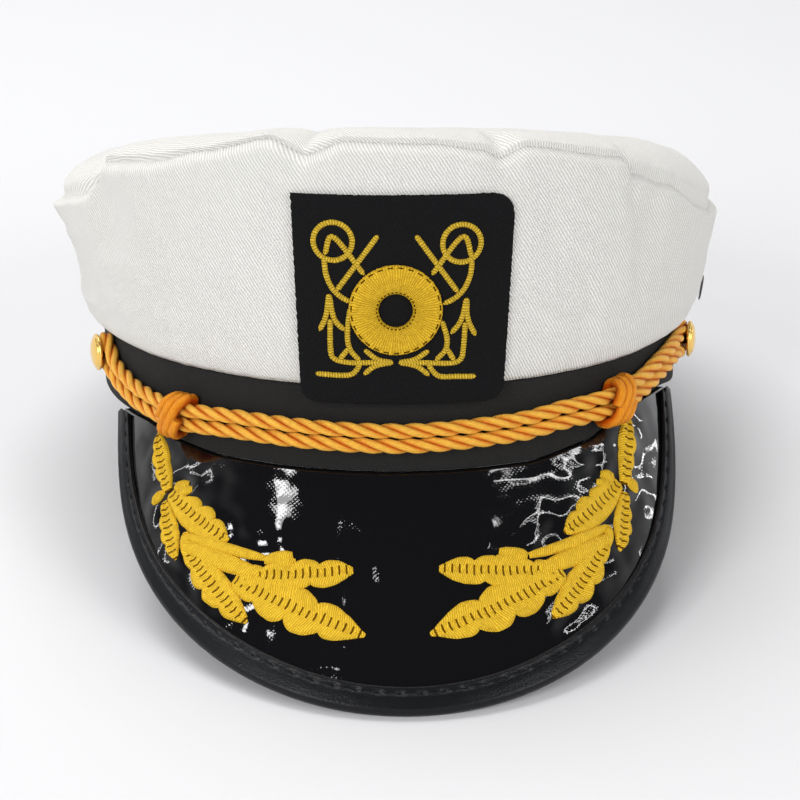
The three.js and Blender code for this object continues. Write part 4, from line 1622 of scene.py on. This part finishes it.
    def build_knot(self, name: str, knot: float, thread: bpy.types.Material) -> None:
        """Makes the wraps of one slide knot round both runs.

        Args:
            name: the knot's name.
            knot: its angle.
            thread: its finish.
        """
        piece = Piece(f"{name}_wraps", self.hat)
        strand, air = self.wrap_radius, self.wrap_air
        half = 0.5 * self.spacing
        around = self.radius + self.knot_clearance
        cores = []
        for along in range(-8, 9, 2):
            at = knot + self.hat.degrees_for(along, knot)
            offset = self.standoff + self.knot_lift(at)
            for level in (-half, half):
                cores.append(self.hat.on_band(at, offset, self.height(at) + level))
        route = []
        steps = self.wraps * self.wrap_steps
        size = around + 0.5 * strand + air
        for i in range(steps + 1):
            turn = 2 * math.pi * i / self.wrap_steps
            rise, out = math.sin(turn), math.cos(turn)
            height = half * math.copysign(min(1.0, abs(rise) * 3), rise) + size * rise
            along = (i / steps - 0.5) * self.wrap_width + self.wrap_slant * height
            at = knot + self.hat.degrees_for(along, knot)
            swell = self.wrap_swell * bell(along, 3.5) if out > 0 else 0.0
            offset = self.standoff + self.knot_lift(at) + (size + swell) * out
            route.append(self.hat.on_band(at, max(offset, strand + 0.2), self.height(at) + height))
        outside = around + 1.5 * strand + air
        # painted shade: the wraps are darker where they lie close to the cord
        self.tube(
            piece, spline(route, False, self.wrap_step), strand, False,
            lambda i, spot: self.wrap_shade_fall * (1 - min((spot - core).length for core in cores) / outside),
        )
        made = piece.finish(thread, weld=STITCH_WELD, fill=True)
        hand_over(made, Slot.KNOT, name)

    def build_button(self, name: str, button: Row, metal: bpy.types.Material) -> None:
        """Makes one domed button on its shank.

        Args:
            name: the button's name.
            button: its angle and its height as a share of the band's.
            metal: its finish.
        """
        angle, share = button
        under = self.standoff + self.radius + self.hat.seam_gap
        radius, head = self.button_radius, self.head
        profile = [(0.0, self.hat.seam_gap), (self.shank, self.hat.seam_gap), (self.shank, under)]
        profile += [(wide * radius, under + high * head) for wide, high in self.rim_rows]
        profile += [
            (0.84 * radius * math.cos(turn), under + head * (0.46 + 0.54 * math.sin(turn)))
            for turn in (math.pi * i / 20 for i in range(11))
        ]
        point, out, _ = self.hat.band_at(angle)
        point.z = self.hat.band_height * share
        piece = Piece(f"{name}_metal", self.hat)
        piece.spun(profile, 48, point, out)
        hand_over(piece.finish(metal), Slot.BRASS, name)

    def build(self) -> None:
        """Makes the cord, the knots and the buttons."""
        self.build_cord()
        thread, metal = KNOT_THREAD.build(), BRASS.build()
        for side, knot, button in zip(("left", "right"), self.knots, self.buttons):
            self.build_knot(f"slide_knot_{side}", knot, thread)
            self.build_button(f"side_button_{side}", button, metal)


@dataclass
class VentEyelets:
    """The two dark metal eyelets low on the crown's sides."""

    hat: HatFrame
    crown: Crown
    angles: tuple[float, float] = (-101.0, 78.0)
    share: float = 0.26
    radius: float = 3.9
    bore: float = 1.7
    lift: float = 0.5
    rim_steps: int = 10
    spin_steps: int = 40
    probe: float = 0.02

    def profile(self) -> list[Row]:
        """The eyelet's section.

        Returns:
            Its (radius, height) rows, out along its back and back over its rounded rim.
        """
        gap = self.hat.seam_gap
        high, wide = gap + self.lift, 0.5 * (self.radius - self.bore)
        rows = [(self.bore, gap), (self.radius, gap)]
        for i in range(self.rim_steps + 1):
            turn = math.pi * i / self.rim_steps
            rows.append((self.bore + wide * (1 + math.cos(turn)), high * (0.6 + 0.4 * math.sin(turn))))
        rows.append((self.bore, gap))
        return rows

    def build(self) -> None:
        """Makes both eyelets."""
        metal = STEEL.build()
        spot, share, probe = self.crown.wall_point, self.share, self.probe
        for side, angle in zip(("left", "right"), self.angles):
            centre = spot(angle, share)
            up = spot(angle, share + probe) - spot(angle, share - probe)
            along = spot(angle + 1, share) - spot(angle - 1, share)
            normal = along.cross(up).normalized()
            if normal.dot(centre) < 0:
                normal.negate()
            piece = Piece(f"vent_eyelet_{side}_metal", self.hat)
            piece.spun(self.profile(), self.spin_steps, centre, normal)
            hand_over(piece.finish(metal), Slot.STEEL, f"vent_eyelet_{side}")


@dataclass
class Emblem:
    """The cloth patch on the crown's front, its ring badge and its stitched anchors.

    A loop is the (x, height, radius) of an anchor's ring, and a stroke runs through its (x, height) points.
    """

    hat: HatFrame
    crown: Crown
    top_width: float = 61.5
    bottom_width: float = 56.5
    height: float = 59.4
    bottom: float = 20.6
    wall: float = 1.2
    shift: float = -0.3
    hang: float = 0.072
    corner_top: float = 6.5
    corner_bottom: float = 4.5
    ring_centre: Row = (-2.46, 47.8)
    ring_radius: float = 12.9
    ring_hole: float = 4.7
    ring_height: float = 1.3
    line_width: float = 1.5
    line_height: float = 0.55
    line_step: float = 0.5
    line_rows: int = 6
    creases_kept: float = 0.9
    ragged_side: float = 0.3
    ragged_end: float = 0.25
    patch_faces: tuple[int, int] = (120, 120)
    ring_faces: tuple[int, int] = (200, 40)
    loops: tuple[tuple[float, float, float], ...] = ((-19.6, 67.0, 5.3), (15.6, 66.3, 5.3))
    strokes: tuple[tuple[Row, ...], ...] = (
        ((-21.8, 63.2), (-19.4, 68.2), (-11.1, 57.9)),
        ((-22, 62.8), (-21.5, 57.9), (-19.9, 54), (-17.4, 51.4), (-14.7, 50)),
        ((-7.3, 69), (-18.6, 53.2)),
        ((-20.7, 52.2), (-21.5, 45.9), (-23.3, 41.5)),
        ((-20.7, 52.2), (-19.3, 45.1), (-16.4, 41.8)),
        ((-20.4, 45), (-20.3, 36), (-19.2, 33.4), (-15.4, 32.5), (-9.5, 32.6), (-3.5, 32.7)),
        ((-14.9, 48.4), (-15.7, 40.7), (-14.9, 36.3), (-12.2, 33)),
        ((-15.3, 36.7), (-17.9, 33.2)),
        ((-11.1, 36.4), (-7.3, 33.5), (-3.1, 32.7)),
        ((-11.2, 29.1), (-7.8, 31.7), (-3.1, 32.7)),
        ((-24.5, 28.9), (-20.5, 28.7), (-15.4, 28.8), (-13.3, 30.2), (-12, 32.7)),
        ((18.4, 62.2), (15.7, 68.1), (7.4, 57.8)),
        ((18.5, 61.7), (18, 57.3), (16.3, 53.4), (13.8, 50.9), (10.6, 49.4)),
        ((2.9, 68.9), (14.6, 52.6)),
        ((17.1, 50.9), (17.5, 44.8), (19.7, 39.9)),
        ((17.1, 50.9), (15.6, 44.5), (12.8, 40.8)),
        ((16.8, 44), (16.3, 35.9), (15.6, 33.2), (13.1, 32.2), (6.2, 32.5), (-1.4, 32.7)),
        ((10.2, 44.7), (11.7, 39.7), (11.3, 36.1), (8.6, 33.1)),
        ((11.7, 36.6), (13.9, 32.8)),
        ((6.8, 36.1), (2.8, 33.5), (-1.6, 32.7)),
        ((6.9, 28.8), (3.2, 31.6), (-1.6, 32.7)),
        ((20, 27.9), (14.4, 28.2), (9.7, 28.5), (7.5, 30.6), (6.6, 32.5)),
    )

    def point(self, x: float, height: float, lift: float) -> Vector:
        """A point over the front of the crown; below the crown it hangs straight down.

        Args:
            x: how far right of the middle.
            height: the height above the band's lower edge.
            lift: how far out of the crown's face.

        Returns:
            The point.
        """
        hangs = max(height - self.crown.base, self.hang * self.crown.front_height)
        degrees = offset = 0.0
        for _ in range(8):
            _, out, _ = self.hat.band_at(degrees)
            share = min(1.0, hangs / self.crown.height(degrees))
            offset = self.crown.flare(degrees) * rows_value(self.crown.wall_rows, share)
            offset += self.crown.creases(degrees, share) * self.creases_kept
            sine = (x - (offset + lift) * out.x) / self.hat.half_width
            degrees = math.degrees(math.asin(min(1.0, max(-1.0, sine))))
        return self.hat.on_band(degrees, offset + lift, height)

    def corner(self, distance: float, size: float) -> float:
        """How far a rounded corner draws the edge in.

        Args:
            distance: how far from the patch's end.
            size: the corner's radius.

        Returns:
            The distance inward.
        """
        if distance >= size:
            return 0.0
        side = 1 - distance / size
        return size * (1 - math.sqrt(max(0.0, 1 - side * side)))

    def build_patch(self) -> None:
        """Makes the cloth patch."""

        def spot(u: float, v: float) -> Row:
            """The place on the flat patch, closer together towards its edges, and that also measures it."""
            share = 0.6 * v + 0.4 * (0.5 - 0.5 * math.cos(math.pi * v))
            height = self.bottom + share * self.height
            half = 0.5 * (self.bottom_width + share * (self.top_width - self.bottom_width))
            low = self.corner(height - self.bottom, self.corner_bottom)
            high = self.corner(self.bottom + self.height - height, self.corner_top)
            left, right = self.shift - half + low, self.shift + half - max(low, high)
            ragged = self.ragged_side * ripple(height / 1.3, 3 if u < 0.5 else 8, 61)
            across = 0.7 * u + 0.3 * (0.5 - 0.5 * math.cos(math.pi * u))
            return left + (right - left) * across + ragged * abs(2 * u - 1) ** 8, height

        def place(u: float, v: float) -> Vector:
            """The patch's face on the crown, drawn down at its edges."""
            x, height = spot(u, v)
            height += self.ragged_end * ripple(x / 1.3, 4, 64) * abs(2 * v - 1) ** 8
            edge = 1 - max(abs(2 * u - 1), abs(2 * v - 1)) ** 24
            return self.point(x, height, self.hat.seam_gap + self.wall * (0.72 + 0.28 * edge))

        piece = Piece("emblem_patch_cloth", self.hat)
        piece.grid(*self.patch_faces, place, spot)
        patch = piece.finish(PATCH_TWILL.build())
        thicken(patch, 0.7 * self.wall)
        hand_over(patch, Slot.PATCH, "emblem_patch")

    def build_ring(self, thread: bpy.types.Material) -> None:
        """Makes the ring badge of radial stitches.

        Args:
            thread: its finish.
        """
        base = 2 * self.hat.seam_gap + self.wall

        def place(u: float, v: float) -> Vector:
            """The ring's domed face, with a ridge and a ditch along both edges."""
            turn = 2 * math.pi * u
            loose = 0.14 * ripple(14 * math.cos(turn), 14 * math.sin(turn), 71) * (2 * v - 1) ** 6
            radius = self.ring_hole + v * (self.ring_radius - self.ring_hole) + loose
            dome = max(0.0, 1 - abs(2 * v - 1) ** 5) ** 0.5
            ridge = 0.35 * bell(v - 0.96, 0.03) + 0.3 * bell(v - 0.05, 0.03)
            ditch = 0.4 * bell(v - 0.9, 0.02) + 0.4 * bell(v - 0.12, 0.02)
            lift = base + self.ring_height * (0.8 * dome + 0.3 * (ridge - ditch))
            x = self.ring_centre[0] + radius * math.cos(turn)
            return self.point(x, self.ring_centre[1] + radius * math.sin(turn), lift)

        piece = Piece("emblem_ring_stitches", self.hat)
        girth = 2 * math.pi * 9.0
        wide = self.ring_radius - self.ring_hole
        piece.grid(*self.ring_faces, place, lambda u, v: (girth * u, v * wide))
        hand_over(piece.finish(thread), Slot.GOLD_THREAD, "emblem_ring")

    def lay_line(self, piece: Piece, line: Sequence[Vector], closed: bool) -> None:
        """Stitches one satin line on the patch.

        Args:
            piece: the piece that it joins.
            line: its points as (x, height).
            closed: whether it is a loop.
        """
        count = len(line)
        steps = count if closed else count - 1
        base = self.hat.seam_gap + self.wall + 0.02

        def place(u: float, v: float) -> Vector:
            """The rounded face of the line, narrower at open ends."""
            i = round(u * steps)
            here = line[i % count]
            before = line[(i - 1) % count] if closed or i else here
            after = line[(i + 1) % count] if closed or i < count - 1 else here
            tangent = (after - before).normalized()
            side = 2 * v - 1
            ends = 1.0 if closed else min(1.0, (min(i, steps - i) + 0.6) / 2)
            width = 0.5 * self.line_width * ends * (1 + 0.08 * ripple(here.x * 1.7, here.y * 1.7, 81))
            x = here.x - tangent.y * side * width
            height = here.y + tangent.x * side * width
            return self.point(x, height, base + self.line_height * math.sqrt(max(0.0, 1 - side**2)))

        spacing = (line[1] - line[0]).length
        piece.grid(
            steps, self.line_rows, place, lambda u, v: (u * steps * spacing, (v - 0.5) * self.line_width)
        )

    def build_anchors(self, thread: bpy.types.Material) -> None:
        """Makes the stitched anchors round the badge.

        Args:
            thread: their finish.
        """
        piece = Piece("emblem_anchors_stitches", self.hat)
        for stroke in self.strokes:
            points = [Vector((x, z, 0)) for x, z in stroke]
            self.lay_line(piece, spline(points, False, self.line_step), False)
        turns = [math.radians(degrees) for degrees in range(0, 360, 30)]
        for x, z, radius in self.loops:
            circle = [Vector((x + radius * math.cos(t), z + radius * math.sin(t), 0)) for t in turns]
            self.lay_line(piece, spline(circle, True, self.line_step), True)
        made = piece.finish(thread, weld=STITCH_WELD)
        hand_over(made, Slot.GOLD_THREAD)

    def build(self) -> None:
        """Makes the patch and all its stitching."""
        thread = BADGE_THREAD.build()
        self.build_patch()
        self.build_ring(thread)
        self.build_anchors(ANCHOR_THREAD.build())


@dataclass(frozen=True)
class Lamp:
    """A soft light: where it stands, its size in metres, its power, and which way its first side lies."""

    name: str
    place: tuple[float, float, float]
    size: Row
    power: float
    along: tuple[float, float, float] = (1.0, 0.0, 0.0)
    aim: tuple[float, float, float] = (0.0, 0.0, 0.07)

    def stand(self) -> Matrix:
        """Works out where the lamp stands and how it is turned to its aim.

        Returns:
            The lamp's matrix.
        """
        back = (Vector(self.place) - Vector(self.aim)).normalized()
        side = Vector(self.along)
        side = (side - back * side.dot(back)).normalized()
        turn = Matrix((side, back.cross(side), back)).transposed()
        return Matrix.Translation(self.place) @ turn.to_4x4()


@dataclass
class Studio:
    """The floor, the lights and the camera.

    The camera looks at the middle of the band's lower edge, level with the hat's own frame, and the axis
    pixel is where that point shows in the picture.
    """

    hat: HatFrame
    picture: int = 800
    sensor: float = 36.0
    elevation: float = math.radians(15.1)
    yaw: float = math.radians(2.3)
    distance: float = 750.0
    focal_pixels: float = 2317.0
    axis_pixel: Row = (389.0, 377.0)
    floor_half: float = 25.0
    floor_colour: Colour = Colour(0.7, 0.7, 0.71)
    floor_roughness: float = 0.8
    low_glow: Colour = Colour(0.95, 0.95, 0.97)
    high_glow: Colour = Colour(0.05, 0.05, 0.055)
    glow_span: Row = (0.1, 0.75)
    glow_strength: float = 1.2
    lamps: tuple[Lamp, ...] = (
        Lamp("overhead", (-0.25, 0.55, 1.3), (1.2, 0.8), 16.5),
        Lamp("front_left", (-0.9, -1.1, 0.9), (0.8, 0.8), 13.0),
        Lamp("front_right", (1.0, -0.9, 0.8), (0.7, 0.8), 7.5),
        Lamp("window_left", (-0.62, -0.18, 0.97), (0.09, 0.12), 0.5),
        Lamp("strip_left", (-0.9, 0.16, 0.7), (0.3, 0.012), 0.2, (0.1, 0.3, 0.6)),
        Lamp("window_right", (0.74, -0.1, 0.9), (0.5, 0.012), 0.35, (0.4, 0.25, -0.26)),
        Lamp("strip_right", (1.05, 0.24, 0.4), (0.25, 0.012), 0.2, (0.1, -0.5, 0.6)),
        Lamp("glint_front", (-0.27, -0.46, 1.03), (0.02, 0.03), 0.03),
    )

    def build_camera(self) -> None:
        """Stands the camera where the photo's was."""
        sine, cosine = math.sin(self.elevation), math.cos(self.elevation)
        turn_sine, turn_cosine = math.sin(self.yaw), math.cos(self.yaw)
        place = Vector((-cosine * turn_sine, -cosine * turn_cosine, sine)) * self.distance
        right = Vector((turn_cosine, -turn_sine, 0))
        up = Vector((turn_sine * sine, turn_cosine * sine, cosine))
        ahead = Vector((turn_sine * cosine, turn_cosine * cosine, -sine))
        turn = self.hat.turn().to_3x3()
        data = bpy.data.cameras.new("camera")
        data.sensor_width = self.sensor
        data.lens = self.focal_pixels / self.picture * self.sensor
        data.shift_x = 0.5 - self.axis_pixel[0] / self.picture
        data.shift_y = self.axis_pixel[1] / self.picture - 0.5
        camera = bpy.data.objects.new("camera", data)
        bpy.context.collection.objects.link(camera)
        basis = Matrix((turn @ right, turn @ up, turn @ -ahead)).transposed()
        camera.matrix_world = Matrix.Translation(self.hat.to_row(place)) @ basis.to_4x4()
        bpy.context.scene.camera = camera

    def build_floor(self) -> None:
        """Lays the pale plain floor."""
        work = bmesh.new()
        bmesh.ops.create_grid(work, x_segments=2, y_segments=2, size=self.floor_half)
        mesh = bpy.data.meshes.new("floor")
        work.to_mesh(mesh)
        work.free()
        floor = bpy.data.objects.new("floor", mesh)
        bpy.context.collection.objects.link(floor)
        mesh.materials.append(Weave("pale_floor", self.floor_colour, self.floor_roughness).material)

    def build_lights(self) -> None:
        """Hangs the lamps and the pale surroundings."""
        for lamp in self.lamps:
            data = bpy.data.lights.new(lamp.name, "AREA")
            data.shape = "RECTANGLE"
            data.size, data.size_y = lamp.size
            data.energy = lamp.power
            light = bpy.data.objects.new(lamp.name, data)
            bpy.context.collection.objects.link(light)
            light.matrix_world = lamp.stand()
        world = bpy.data.worlds.new("surroundings")
        world.use_nodes = True
        nodes, links = world.node_tree.nodes, world.node_tree.links
        where = nodes.new("ShaderNodeTexCoord")
        parts = nodes.new("ShaderNodeSeparateXYZ")
        ramp = nodes.new("ShaderNodeValToRGB")
        glows = zip(ramp.color_ramp.elements, self.glow_span, (self.low_glow, self.high_glow))
        for element, position, colour in glows:
            element.position = position
            element.color = colour.rgba()
        links.new(where.outputs["Generated"], parts.inputs[0])
        links.new(parts.outputs[2], ramp.inputs[0])
        links.new(ramp.outputs[0], nodes["Background"].inputs[0])
        nodes["Background"].inputs[1].default_value = self.glow_strength
        bpy.context.scene.world = world

    def build(self) -> None:
        """Makes the floor, the lights and the camera."""
        self.build_floor()
        self.build_lights()
        self.build_camera()
        bpy.context.scene.view_settings.view_transform = "Standard"


def main() -> None:
    """Dresses the hat and lights it."""
    logging.basicConfig(level=logging.INFO, format="%(name)s: %(message)s")
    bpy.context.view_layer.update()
    hat = HatFrame()
    crown = Crown(hat)
    crown.build()
    Headband(hat).build()
    Visor(hat).build()
    ChinCord(hat).build()
    VentEyelets(hat, crown).build()
    Emblem(hat, crown).build()
    Studio(hat).build()


if __name__ == "__main__":
    main()
